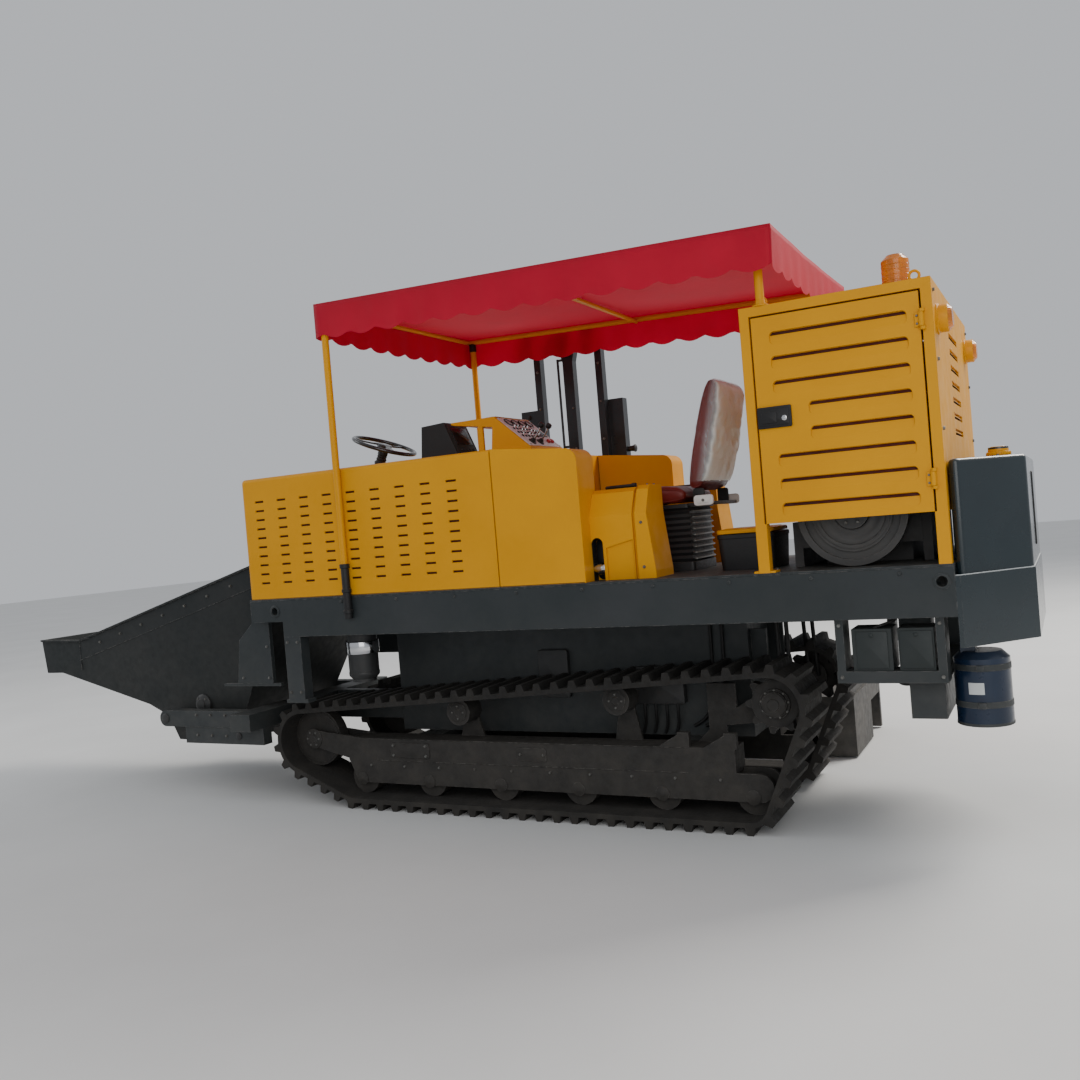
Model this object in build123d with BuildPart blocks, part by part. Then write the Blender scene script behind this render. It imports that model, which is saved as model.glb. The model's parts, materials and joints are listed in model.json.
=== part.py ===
"""Side-mould slipform paver on two rubber tracks, built as separate named pieces.

Lengths are in millimetres. Stations along X are measured from the sprocket axis, forward positive,
offsets along Y from the middle plane between the tracks, left positive, and heights from the ground.
side(), across() and level() turn them into sketch planes of the row frame, whose origin is on the
ground at the middle of the whole machine.
"""

import os
from math import asin, atan2, cos, degrees, hypot, radians, sin, tan

from build123d import *

os.makedirs("parts", exist_ok=True)

MIN, MID, MAX = Align.MIN, Align.CENTER, Align.MAX

# Driving dimensions: the whole machine
FRONT_TIP = 5065.0  # foremost edge of the hopper
REAR_END = -1134.0  # rear face of the tank
HALF_WIDTH = 750.0  # half the width over the main frame, hoods and power housing
DECK_TOP = 1215.0
SEAT_GAP = 0.3  # running or seating clearance between round or soft pieces
DOOR_GAP = 6.0  # gap round a door or lid
WELD = 0.5  # seam between members that share a node

# Undercarriage
TRACK_CENTRE = 415.0  # offset of each belt's middle
BELT_WIDTH = 350.0
BELT_THICK = 25.0
LUG_HEIGHT = 35.0
LUG_PITCH = 100.0
LUG_FOOT = 50.0
LUG_TIP = 30.0
SPROCKET_Z = 586.0
SPROCKET_LOOP = 205.0  # radius over the lugs round the sprocket
IDLER_X = 2735.0
IDLER_Z = 370.0
IDLER_LOOP = 225.0
ROLLER_LOOP = 150.0
ROLLER_FIRST = 125.0
ROLLER_LAST = IDLER_X - 335.0
ROLLER_COUNT = 6
CARRIER_X = (790.0, 1723.0)
CARRIER_R = 72.0
TRACK_BEAM = (200.0, IDLER_X - 255.0, 255.0, 380.0)  # rear, front, bottom, top
TRACK_BEAM_WIDTH = 150.0
AXLE_R = 22.0
SPROCKET_TEETH = 9
WHEEL_WIDTH = 60.0

# Main frame
BEAM_WIDTH = 70.0
BEAM_TOP = 1205.0
BEAM_LOW = 1000.0
BEAM_FRONT_LOW = 1086.0
BEAM_STEP = IDLER_X - 71.0
BEAM_FRONT = IDLER_X + 159.0
BEAM_REAR = -850.0
CYLINDER_X = 2303.0
CROSS_STATIONS = (-700.0, 150.0, 1000.0, 1850.0, CYLINDER_X, BEAM_STEP - 74.0)
CROSS_WIDTH = 90.0
BELLY = (173.0, CYLINDER_X - 24.0)
BELLY_HALF = 220.0
PANEL_REAR = IDLER_X + 101.0
SUB_REAR = IDLER_X + 311.0  # rear face of the subframe's cross member
SUB_CROSS = 153.0
SUB_FRONT = 3896.0
SUB_BEAM = (505.0, 575.0, 441.0, 541.0)  # inner and outer offset, bottom, top
SUB_PLATE = (3682.0, 341.0)  # front and bottom of the lower plates

# Rear end
TANK_CHAMFER = (265.0, 290.0)  # along X, along Y
TANK_FRONT = -850.0
TANK_TOP = 1634.0
TANK_LOW = 875.0
TANK_SEAM = 1165.0
TANK_INSET = 10.0  # step from the lower part to the upper

# Power housing
HOUSE = (-844.0, -58.0)  # rear, front
HOUSE_TOP = 2367.0
LEG = 50.0
DOOR_LOW = 1428.0
DOOR_THICK = 32.0

# Hoods
HOOD_FRONT = 2891.0
HOOD_SEAM = 1246.0
HOOD_TOP = 1900.0
HOOD_REAR = 776.0
HOOD_REAR_TOP = 1854.0
COWL_TOP = 1650.0
COWL = (430.0, 655.0)  # inner and outer offset
POD_INNER = 560.0  # inner face of the rear hoods, beside the footwell
SLOT = (62.0, 12.0)
SLOT_COLUMNS, SLOT_ROWS = 9, 10
SLOT_PITCH = (160.0, 51.0)
SLOT_LAST = 1482.0  # middle of the rearmost column
SLOT_LOWEST = 1308.0

# Canopy
CANOPY_HALF = 790.0
CANOPY_REAR, CANOPY_FRONT = -236.0, 2222.0
CANOPY_REAR_TOP, CANOPY_FRONT_TOP = 2700.0, 2785.0
VALANCE = 180.0
CLOTH = 12.0
TUBE = 38.0

# Hopper
HOPPER_HALF = 500.0
HOPPER_WALL = 8.0
RIM_BAND = 130.0

# Mould and mast
MAST_TOP = 2780.0
MOULD = (-84.0, 1900.0)
MOULD_NEAR = -930.0
MOULD_FAR = -1800.0
MOULD_FOOT = 12.0
KERB_WIDTH = 300.0
KERB_HEIGHT = 230.0
MOULD_WALL = 25.0
MOULD_LIFT = 250.0

NEAR_REACH = CANOPY_HALF + CLOTH
SHIFT_X = -(FRONT_TIP + REAR_END) / 2
CENTRE_Y = -(NEAR_REACH + MOULD_FAR) / 2
DATUM = Plane(origin=(SHIFT_X, CENTRE_Y, 0))
SIDES = (1, -1)


def side(offset: float) -> Plane:
    """Sketch plane along the machine at a Y offset; local x runs forward, local y up, extrusion to -Y."""
    return Plane(origin=(SHIFT_X, CENTRE_Y + offset, 0), x_dir=(1, 0, 0), z_dir=(0, -1, 0))


def across(station: float) -> Plane:
    """Sketch plane across the machine at an X station; local x runs left, local y up, extrusion forward."""
    return Plane(origin=(SHIFT_X + station, CENTRE_Y, 0), x_dir=(0, 1, 0), z_dir=(1, 0, 0))


def level(height: float) -> Plane:
    """Level sketch plane at a height."""
    return Plane(origin=(SHIFT_X, CENTRE_Y, height))


def block(rear, front, right, left, low, high, mode=Mode.ADD):
    """Box between six limits, in the machine's stations, offsets and heights."""
    with Locations((rear, right, low)):
        Box(front - rear, left - right, high - low, align=(MIN, MIN, MIN), mode=mode)


def plate(points, low, high, mode=Mode.ADD):
    """Plate of a side-view outline (stations and heights) between two offsets."""
    with BuildSketch(side(high)) as face:
        Polygon(*points, align=None)
    extrude(face.sketch, amount=high - low, mode=mode)


def bar(station, height, radius, low, high, mode=Mode.ADD):
    """Round bar across the machine between two offsets."""
    with BuildSketch(side(high)) as face:
        with Locations((station, height)):
            Circle(radius)
    extrude(face.sketch, amount=high - low, mode=mode)


def pillar(station, offset, radius, low, high, mode=Mode.ADD):
    """Upright round bar between two heights."""
    with BuildSketch(level(low)) as face:
        with Locations((station, offset)):
            Circle(radius)
    extrude(face.sketch, amount=high - low, mode=mode)


def span(hand, inner, outer):
    """Offsets from low to high of a piece between two distances from the middle, on one hand."""
    return sorted((hand * inner, hand * outer))


def save(builder: BuildPart, name: str):
    """Label a finished piece and write it."""
    builder.part.label = name
    export_step(builder.part, f"parts/{name}.step")


# Tracks: one loop round sprocket, idler and the end rollers, with its lugs in the outline
WHEELS = (  # station, height, radius over the lugs
    (0.0, SPROCKET_Z, SPROCKET_LOOP),
    (IDLER_X, IDLER_Z, IDLER_LOOP),
    (ROLLER_LAST, ROLLER_LOOP, ROLLER_LOOP),
    (ROLLER_FIRST, ROLLER_LOOP, ROLLER_LOOP),
)
INNER = LUG_HEIGHT + BELT_THICK  # from the lug tips to the belt's inner face


def loop_face(inset: float):
    """Hull of the four wheels, drawn this far inside the lug tips."""
    with BuildSketch(Plane.XY) as hull:
        with BuildLine():
            for x, z, r in WHEELS:
                CenterArc((x, z), r - inset, 0, 360)
        make_hull()
    return hull.sketch


def top_run(x: float, inset: float):
    """Height of the straight top run at a station, this far inside the lug tips."""
    (x1, z1, r1), (x2, z2, r2) = WHEELS[0], WHEELS[1]
    lean = atan2(z2 - z1, x2 - x1) - asin((r1 - r2) / hypot(x2 - x1, z2 - z1))
    start_x = x1 - (r1 - inset) * sin(lean)
    start_z = z1 + (r1 - inset) * cos(lean)
    return start_z + tan(lean) * (x - start_x), lean


carcass = loop_face(LUG_HEIGHT)
carcass_edge = carcass.faces()[0].outer_wire()
lug_count = round(carcass_edge.length / LUG_PITCH)
lug_spots = []
for step in range(lug_count):
    spot = carcass_edge.position_at(step / lug_count)
    way = carcass_edge.tangent_at(step / lug_count)
    lug_spots.append(Location((spot.X, spot.Y, 0), (0, 0, degrees(atan2(way.Y, way.X)))))

LUG = (
    (-LUG_FOOT / 2, 4.0),
    (-LUG_FOOT / 2, 0.0),
    (-LUG_TIP / 2, -LUG_HEIGHT),
    (LUG_TIP / 2, -LUG_HEIGHT),
    (LUG_FOOT / 2, 0.0),
    (LUG_FOOT / 2, 4.0),
)
for hand, name in zip(SIDES, ("track_left", "track_right")):
    with BuildPart() as track:
        with BuildSketch(side(hand * TRACK_CENTRE + BELT_WIDTH / 2)):
            add(carcass)
            with Locations(*lug_spots):
                Polygon(*LUG, align=None)
            add(loop_face(INNER), mode=Mode.SUBTRACT)
        extrude(amount=BELT_WIDTH)
    save(track, name)

# Track frames: beam, drive arms, idler fork, roller hangers and carrier stands
ARM_IN, ARM_OUT = TRACK_CENTRE - 75.0, TRACK_CENTRE + 75.0
ARM_THICK = 18.0
roller_pitch = (ROLLER_LAST - ROLLER_FIRST) / (ROLLER_COUNT - 1)
ROLLERS = [ROLLER_FIRST + roller_pitch * n for n in range(ROLLER_COUNT)]
beam_rear, beam_front, beam_low, beam_top = TRACK_BEAM
CARRIERS = []
for x in CARRIER_X:
    run, lean = top_run(x, INNER)
    CARRIERS.append((x, run - (CARRIER_R + SEAT_GAP) / cos(lean)))
HUB_R = 46.0
DRIVE_ARM = (  # from the sprocket's hub to the beam, with the belt's slide plate standing on it
    (-66, 586),
    (-40, 650),
    (60, 650),
    (169, 575),
    (216, 548),
    (216, 666),
    (359, 666),
    (359, 440),
    (420, beam_top),
    (420, beam_low + 7),
    (272, beam_low + 7),
    (272, 461),
    (54, 484),
    (-40, 520),
)
GUARD = (24.0, ROLLER_LAST + 90.0, 128.0, 262.0)  # roller guard: rear, front, bottom, top
GUARD_R = (GUARD[3] - GUARD[2]) / 2
UPRIGHTS = (190.0, 424.0)

for hand, name in zip(SIDES, ("track_frame_left", "track_frame_right")):
    with BuildPart(DATUM) as frame:
        block(beam_rear, beam_front, *span(hand, ARM_IN, ARM_OUT), beam_low, beam_top)
        for inner in (ARM_IN, ARM_OUT - ARM_THICK):
            low, high = span(hand, inner, inner + ARM_THICK)
            fork = ((IDLER_X - 435, 262), (IDLER_X - 435, 372), (IDLER_X, 418), (IDLER_X, 322), (IDLER_X - 255, 262))
            plate(fork, low, high)
            bar(IDLER_X, IDLER_Z, HUB_R + 2, low, high)
            bar(GUARD[0] + GUARD_R, GUARD[2] + GUARD_R, GUARD_R, low, high)
            plate(((GUARD[0] + GUARD_R, GUARD[2]), (GUARD[0] + GUARD_R, GUARD[3]), (GUARD[1], GUARD[3]),
                   (GUARD[1] - 60, GUARD[2])), low, high)
            for x in ROLLERS:
                bar(x, ROLLER_LOOP, AXLE_R + SEAT_GAP, low, high, mode=Mode.SUBTRACT)
            bar(IDLER_X, IDLER_Z, AXLE_R + SEAT_GAP, low, high, mode=Mode.SUBTRACT)
        low, high = span(hand, ARM_OUT - 35, ARM_OUT)
        for x in UPRIGHTS:
            plate(((x, beam_top - 5), (x, 451), (x + 58, 451), (x + 58, 440), (x + 170, beam_top - 5)), low, high)
        low, high = span(hand, ARM_IN, ARM_IN + ARM_THICK)
        plate(DRIVE_ARM, low, high)
        bar(0, SPROCKET_Z, 72, low, high)
        bar(0, SPROCKET_Z, AXLE_R + SEAT_GAP, low, high, mode=Mode.SUBTRACT)
        for x, z in CARRIERS:
            plate(((x - 75, beam_top - 5), (x - 30, z), (x + 30, z), (x + 75, beam_top - 5)), low, high)
            bar(x, z, 30, low, high)
            bar(x, z, AXLE_R + SEAT_GAP, low, high, mode=Mode.SUBTRACT)
    save(frame, name)

# Wheels inside the belts, both sides in one piece each
with BuildPart() as sprockets:
    for hand in SIDES:
        middle = hand * TRACK_CENTRE
        tooth_tip = SPROCKET_LOOP - INNER - SEAT_GAP
        with BuildSketch(side(middle + WHEEL_WIDTH / 2)) as gear:
            with Locations((0, SPROCKET_Z)):
                Circle(tooth_tip - 52)
                with PolarLocations(0, SPROCKET_TEETH):
                    Polygon((tooth_tip - 64, -38), (tooth_tip - 1, -9), (tooth_tip - 1, 9), (tooth_tip - 64, 38),
                            align=None)
        extrude(gear.sketch, amount=WHEEL_WIDTH)
        bar(0, SPROCKET_Z, 60, *span(hand, ARM_IN + ARM_THICK + 2, TRACK_CENTRE + 62))
        bar(0, SPROCKET_Z, 72, *span(hand, TRACK_CENTRE, TRACK_CENTRE + 44))
        bar(0, SPROCKET_Z, AXLE_R, *span(hand, ARM_IN - 4, TRACK_CENTRE))
save(sprockets, "sprockets")

with BuildPart() as rollers:
    for hand in SIDES:
        middle = hand * TRACK_CENTRE
        bar(IDLER_X, IDLER_Z, IDLER_LOOP - INNER - SEAT_GAP, middle - 36, middle + 36)
        bar(IDLER_X, IDLER_Z, HUB_R, middle - 50, middle + 50)
        bar(IDLER_X, IDLER_Z, AXLE_R, middle - 74, middle + 82)
        for x in ROLLERS:
            bar(x, ROLLER_LOOP, ROLLER_LOOP - INNER - SEAT_GAP, middle - 45, middle + 45)
            bar(x, ROLLER_LOOP, AXLE_R, middle - 74, middle + 80)
        for x, z in CARRIERS:
            low, high = span(hand, ARM_IN + ARM_THICK + 4, ARM_OUT)
            bar(x, z, CARRIER_R, low, high)
            low, high = span(hand, ARM_IN + 2, ARM_IN + ARM_THICK + 4)
            bar(x, z, AXLE_R, low, high)
save(rollers, "track_rollers")

# Main frame
BEAM_IN = HALF_WIDTH - BEAM_WIDTH
EYE_R = 22.0
EYES = (-800.0, 2715.0)
with BuildPart() as side_beams:
    for hand in SIDES:
        low, high = span(hand, BEAM_IN, HALF_WIDTH)
        outline = (
            (BEAM_REAR, BEAM_LOW),
            (BEAM_REAR, BEAM_TOP),
            (BEAM_FRONT, BEAM_TOP),
            (BEAM_FRONT, BEAM_FRONT_LOW),
            (BEAM_STEP, BEAM_FRONT_LOW),
            (BEAM_STEP, BEAM_LOW),
        )
        plate(outline, low, high)
        for x in EYES:
            bar(x, 1145, EYE_R, low, high, mode=Mode.SUBTRACT)
save(side_beams, "side_beams")

with BuildPart(DATUM) as crosses:
    for x in CROSS_STATIONS:
        block(x - CROSS_WIDTH / 2, x + CROSS_WIDTH / 2, -BEAM_IN, BEAM_IN, 1045, 1195)
    block(BEAM_FRONT - 114, BEAM_FRONT - 14, -BEAM_IN + 25, BEAM_IN - 25, 1095, 1195)
    for x in (420, 1950):
        block(x, x + 150, -ARM_IN, ARM_IN, 262, 378)
save(crosses, "cross_members")

with BuildPart(DATUM) as deck:
    block(BEAM_REAR, BEAM_FRONT, -HALF_WIDTH, HALF_WIDTH, BEAM_TOP, DECK_TOP)
save(deck, "deck_plate")

with BuildPart(DATUM) as belly:
    block(BELLY[0], BELLY[1], -BELLY_HALF, BELLY_HALF, 378, 1045)
    for hand in SIDES:
        low, high = span(hand, 150, 170)
        block(BELLY[0] - 78, BELLY[0], low, high, 700, 905)
save(belly, "belly_body")

with BuildPart(DATUM) as legs:
    for hand in SIDES:
        low, high = span(hand, BEAM_IN, HALF_WIDTH)
        block(BEAM_STEP - 115, BEAM_STEP, low, high, 650, BEAM_LOW)
        block(BEAM_STEP - 134, BEAM_STEP + 19, low, high, 630, 650)
        low, high = span(hand, BEAM_IN - 25, BEAM_IN)
        outline = (
            (PANEL_REAR, 1150),
            (PANEL_REAR, 729),
            (PANEL_REAR + 269, 729),
            (PANEL_REAR + 233, 982),
            (PANEL_REAR + 120, 1082),
            (PANEL_REAR + 64, 1150),
        )
        plate(outline, low, high)
        block(PANEL_REAR - 56, PANEL_REAR + 380, low, high, 712, 729 - WELD)
save(legs, "front_supports")

with BuildPart() as cylinders:
    for hand in SIDES:
        pillar(CYLINDER_X, hand * 520, 84, 760, 1045)
        pillar(CYLINDER_X, hand * 520, 92, 872, 944)
        pillar(CYLINDER_X, hand * 520, 60, 715, 760)
save(cylinders, "front_cylinders")

# Front subframe
with BuildPart(DATUM) as subframe:
    sub_in, sub_out, sub_low, sub_top = SUB_BEAM
    block(SUB_REAR, SUB_REAR + SUB_CROSS - WELD, -BEAM_IN, BEAM_IN, sub_low, sub_top)
    for hand in SIDES:
        block(BELLY[1], SUB_REAR - WELD, *span(hand, 140, 210), sub_low, sub_top)
        low, high = span(hand, sub_in, sub_out)
        nose = (sub_top - sub_low) / 2
        block(SUB_REAR + SUB_CROSS, SUB_FRONT - nose, low, high, sub_low, sub_top)
        bar(SUB_FRONT - nose, sub_low + nose, nose, low, high)
        block(SUB_REAR, SUB_PLATE[0], low, high, SUB_PLATE[1], sub_low - WELD)
save(subframe, "front_subframe")

# Hopper: a funnel between upright rim bands, open on top
HOPPER = (
    (2960, 1447),
    (4677, 994),
    (FRONT_TIP, 1002),
    (5033, 773),
    (4880, 773),
    (4115, 556),
    (3960, 480),
    (3898, 326),
    (3420, 310),
    (2960, 1150),
)
LIP = ((2960, 1435), (2960, 1447), (4677, 994), (FRONT_TIP, 1002), (FRONT_TIP, 990), (4679, 982))
LIP_WIDTH = 12.0
AUGER = (3640.0, 560.0)
AUGER_R = 110.0
SHAFT_HALF = 452.0
FLIGHTS = 12
slope = atan2(994 - 1447, 4677 - 2960)
with BuildPart() as funnel:
    plate(HOPPER, -HOPPER_HALF, HOPPER_HALF)
    for hand in SIDES:
        origin = (SHIFT_X + 2960, CENTRE_Y + hand * HOPPER_HALF, 1447 - RIM_BAND / cos(slope))
        lean = 0.10
        run = Vector(cos(slope), 0, sin(slope))
        drop = Vector(sin(slope), -hand * lean, -cos(slope))
        normal = run.cross(drop) * hand
        split(bisect_by=Plane(origin=origin, x_dir=run, z_dir=normal), keep=Keep.BOTTOM)
with BuildPart(DATUM) as ties:
    for hand in SIDES:
        block(BEAM_FRONT, 2960, *span(hand, 300, 330), 1160, 1420)
        block(3450, 3550, *span(hand, 420, SUB_BEAM[0]), SUB_BEAM[2] + 20, SUB_BEAM[3] - 20)
with BuildPart() as saddles:
    add(ties.part)
    add(funnel.part, mode=Mode.SUBTRACT)
with BuildPart() as hopper:
    add(funnel.part)
    mouth = [f for f in hopper.faces() if f.normal_at().Z > 0.5]
    offset(amount=-HOPPER_WALL, openings=mouth)
    add(saddles.part)
    for hand in SIDES:
        plate(LIP, *span(hand, HOPPER_HALF - HOPPER_WALL, HOPPER_HALF + LIP_WIDTH))
    bar(*AUGER, 26.08, -HOPPER_HALF, HOPPER_HALF, mode=Mode.SUBTRACT)
save(hopper, "hopper")

with BuildPart() as auger:
    bar(*AUGER, 26, -SHAFT_HALF, SHAFT_HALF)
    for n in range(FLIGHTS):
        with BuildSketch(side(60 * (n - (FLIGHTS - 1) / 2) + 5)) as blade:
            with Locations(Location((AUGER[0], AUGER[1], 0), (0, 0, 45 * n))):
                Rectangle(2 * AUGER_R, 46)
        extrude(blade.sketch, amount=10)
save(auger, "feed_auger")

# Hoods
with BuildPart() as hood:
    outline = (
        (HOOD_SEAM + 3, DECK_TOP),
        (HOOD_SEAM + 3, HOOD_TOP),
        (HOOD_FRONT, HOOD_TOP),
        (HOOD_FRONT, DECK_TOP),
    )
    plate(outline, -HALF_WIDTH, HALF_WIDTH)
    fillet(hood.edges().filter_by(Axis.Z).group_by(Axis.X)[-1], 25)
    crown = hood.faces().sort_by(Axis.Z)[-1].edges()
    fillet(crown.sort_by(Axis.X)[1:], 22)
    for hand in SIDES:
        low, high = span(hand, HALF_WIDTH - 8, HALF_WIDTH)
        with BuildSketch(side(high)) as slots:
            middle_x = SLOT_LAST + SLOT_PITCH[0] * (SLOT_COLUMNS - 1) / 2
            middle_z = SLOT_LOWEST + SLOT_PITCH[1] * (SLOT_ROWS - 1) / 2
            with Locations((middle_x, middle_z)):
                with GridLocations(*SLOT_PITCH, SLOT_COLUMNS, SLOT_ROWS):
                    Rectangle(*SLOT)
        extrude(slots.sketch, amount=8, mode=Mode.SUBTRACT)
save(hood, "hood_front")

with BuildPart() as hood_rear:
    outline = (
        (HOOD_REAR, DECK_TOP),
        (HOOD_REAR, HOOD_REAR_TOP),
        (HOOD_SEAM - 3, HOOD_TOP),
        (HOOD_SEAM - 3, DECK_TOP),
    )
    for hand in SIDES:
        plate(outline, *span(hand, POD_INNER, HALF_WIDTH))
    fillet(hood_rear.edges().filter_by(Axis.Y).group_by(Axis.X)[0].group_by(Axis.Z)[-1], 60)
save(hood_rear, "hood_rear")


def cowl_run(hand, rear, front, grow):
    """Length of cowl: upright side, a broad slope towards the top; grow moves the skin outward."""
    inner, outer, top = COWL[0], COWL[1] + grow, COWL_TOP + grow
    ring = ((inner, DECK_TOP), (outer, DECK_TOP), (outer, 1525), (outer - 55, top - 18), (outer - 88, top),
            (inner, top))
    with BuildSketch(across(rear)) as face:
        Polygon(*[(hand * y, z) for y, z in ring], align=None)
    extrude(face.sketch, amount=front - rear)


ARCH = (716.0, 776.0, 1421.0)  # rear, front and top of the arched opening beside the hood
ARCH_R = (ARCH[1] - ARCH[0]) / 2
with BuildPart() as cowls:
    for hand in SIDES:
        low, high = span(hand, COWL[1] - 55, COWL[1])
        cowl_run(hand, 556, HOOD_REAR, 0)
        cowl_run(hand, 540, 556, -14)
        cowl_run(hand, 480, 540, 6)
        plate(((480, 1521), (480, DECK_TOP), (452, DECK_TOP), (452, 1251)), *span(hand, COWL[0], COWL[1] + 6))
        plate(((560, DECK_TOP), (560, 1403), (700, 1370), (700, DECK_TOP)), *span(hand, COWL[1] - 10, COWL[1]),
              mode=Mode.SUBTRACT)
        plate(((ARCH[0], DECK_TOP), (ARCH[0], ARCH[2] - ARCH_R), (ARCH[1], ARCH[2] - ARCH_R), (ARCH[1], DECK_TOP)),
              low, high, mode=Mode.SUBTRACT)
        bar(ARCH[0] + ARCH_R, ARCH[2] - ARCH_R, ARCH_R, low, high, mode=Mode.SUBTRACT)
        with BuildSketch(across(ARCH[0])) as pipe:
            with Locations((hand * (COWL[1] - 30), 1272)):
                Circle(26)
        extrude(pipe.sketch, amount=ARCH[1] - ARCH[0])
save(cowls, "cowls")

# Operator's station
STATION_Y = 70.0
CONSOLE_HALF = 200.0
with BuildPart() as console:
    low, high = STATION_Y - CONSOLE_HALF, STATION_Y + CONSOLE_HALF
    plate(((1508, HOOD_TOP), (1490, 2062), (1476, 2118), (1262, 1930), (1262, HOOD_TOP)), low, high)
    plate(((1476, 2118), (1488, 2062), (1735, 2098), (1752, 2104), (1752, 2114)), low, high)
    for offset_y in (low, high - 16):
        plate(((1552, HOOD_TOP), (1552, 2085), (1580, 2085), (1580, HOOD_TOP)), offset_y, offset_y + 16)
save(console, "console")

with BuildPart() as gauge_box:
    plate(((1970, HOOD_TOP), (1950, 2115), (1802, 2124), (1706, HOOD_TOP)), STATION_Y - 35, STATION_Y + CONSOLE_HALF)
save(gauge_box, "gauge_box")

WHEEL_TILT = 22.0
WHEEL_HUB = (2360.0, 2060.0)
wheel_plane = Plane(
    origin=(SHIFT_X + WHEEL_HUB[0], CENTRE_Y + STATION_Y, WHEEL_HUB[1]),
    x_dir=(0, 1, 0),
    z_dir=(-sin(radians(WHEEL_TILT)), 0, cos(radians(WHEEL_TILT))),
)
with BuildPart() as column:
    with BuildSketch(wheel_plane.offset(-14)):
        Circle(24)
    extrude(amount=-190)
    block_top = HOOD_TOP
    with BuildSketch(level(HOOD_TOP - 200)):
        with Locations((2420, STATION_Y)):
            Rectangle(400, 400)
    extrude(amount=200, mode=Mode.SUBTRACT)
save(column, "steering_column")

with BuildPart() as wheel:
    with BuildSketch(wheel_plane):
        Circle(200)
        Circle(172, mode=Mode.SUBTRACT)
        Rectangle(360, 30)
        Circle(45)
    extrude(amount=13, both=True)
save(wheel, "steering_wheel")

SEAT_HALF = 235.0
with BuildPart(DATUM) as seat_base:
    block(413, 733, STATION_Y - 170, STATION_Y + 170, DECK_TOP, 1554)
save(seat_base, "seat_base")

with BuildPart() as cushion:
    plate(((402, 1554), (402, 1630), (700, 1658), (735, 1640), (735, 1554)), STATION_Y - SEAT_HALF,
          STATION_Y + SEAT_HALF)
save(cushion, "seat_cushion")

with BuildPart() as back:
    plate(((300, 1600), (189, 2120), (215, 2176), (270, 2176), (330, 1990), (402, 1640), (402, 1600)),
          STATION_Y - SEAT_HALF, STATION_Y + SEAT_HALF)
save(back, "seat_back")

BOX = (-50.0, 226.0, 120.0, 420.0)  # rear, front, right, left
BOX_TOP = 1385.0
LID_HINGE = (BOX[2] - 10.0, BOX_TOP + 6.0)  # offset and height
KNUCKLES = (20.0, 156.0)
KNUCKLE = 40.0


def rod_x(offset, height, radius, rear, front, mode=Mode.ADD):
    """Round rod along the machine between two stations."""
    with BuildSketch(across(rear)) as face:
        with Locations((offset, height)):
            Circle(radius)
    extrude(face.sketch, amount=front - rear, mode=mode)


with BuildPart(DATUM) as battery:
    block(*BOX, DECK_TOP, BOX_TOP)
    for x in KNUCKLES:
        for lug in (x - 11, x + KNUCKLE + 1):
            block(lug, lug + 10, BOX[2] - 18, BOX[2], 1360, LID_HINGE[1] + 8)
        rod_x(*LID_HINGE, 5, x - 11, x + KNUCKLE + 11)
save(battery, "battery_box")

with BuildPart(DATUM) as lid:
    block(BOX[0], BOX[1], BOX[2] + 6, BOX[3], BOX_TOP + DOOR_GAP, 1412)
    for x in KNUCKLES:
        block(x, x + KNUCKLE, LID_HINGE[0], BOX[2] + 6, LID_HINGE[1] + 1, LID_HINGE[1] + 8)
        rod_x(*LID_HINGE, 9, x, x + KNUCKLE)
        rod_x(*LID_HINGE, 5.05, x, x + KNUCKLE, mode=Mode.SUBTRACT)
save(lid, "battery_lid")

# Power housing
HINGE = (-800.0, HALF_WIDTH + 14.0)  # station and offset of a door's hinge line
HINGE_HEIGHTS = (1560.0, 2200.0)
PIN_R, BARREL_R = 6.0, 10.0
BARREL_HALF = 28.0
house_rear, house_front = HOUSE
WALL = 42.0
hinge_spots = []
REAR_SLOTS = 7
with BuildPart(DATUM) as house:
    block(house_rear, house_front, -HALF_WIDTH, HALF_WIDTH, DOOR_LOW, HOUSE_TOP)
    block(house_rear + WALL, house_front - WALL, -HALF_WIDTH, HALF_WIDTH, DOOR_LOW, HOUSE_TOP - WALL,
          mode=Mode.SUBTRACT)
    for n in range(REAR_SLOTS):
        z = 1755 + 72 * n
        block(house_rear, house_rear + 12, -180, 180, z, z + 28, mode=Mode.SUBTRACT)
    for hand in SIDES:
        for x in (house_rear, house_front - LEG):
            block(x, x + LEG, *span(hand, HALF_WIDTH - LEG, HALF_WIDTH), DECK_TOP, DOOR_LOW)
        low, high = span(hand, HALF_WIDTH, HINGE[1] + 8)
        for z in HINGE_HEIGHTS:
            block(HINGE[0] - 14, HINGE[0] + 1, low, high, z - BARREL_HALF - 14, z - BARREL_HALF - 1)
            block(HINGE[0] - 14, HINGE[0] + 1, low, high, z + BARREL_HALF + 1, z + BARREL_HALF + 14)
            hinge_spots.append((hand, z))
    for hand, z in hinge_spots:
        pillar(HINGE[0], hand * HINGE[1], PIN_R, z - BARREL_HALF - 14, z + BARREL_HALF + 14)
save(house, "power_housing")

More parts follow.
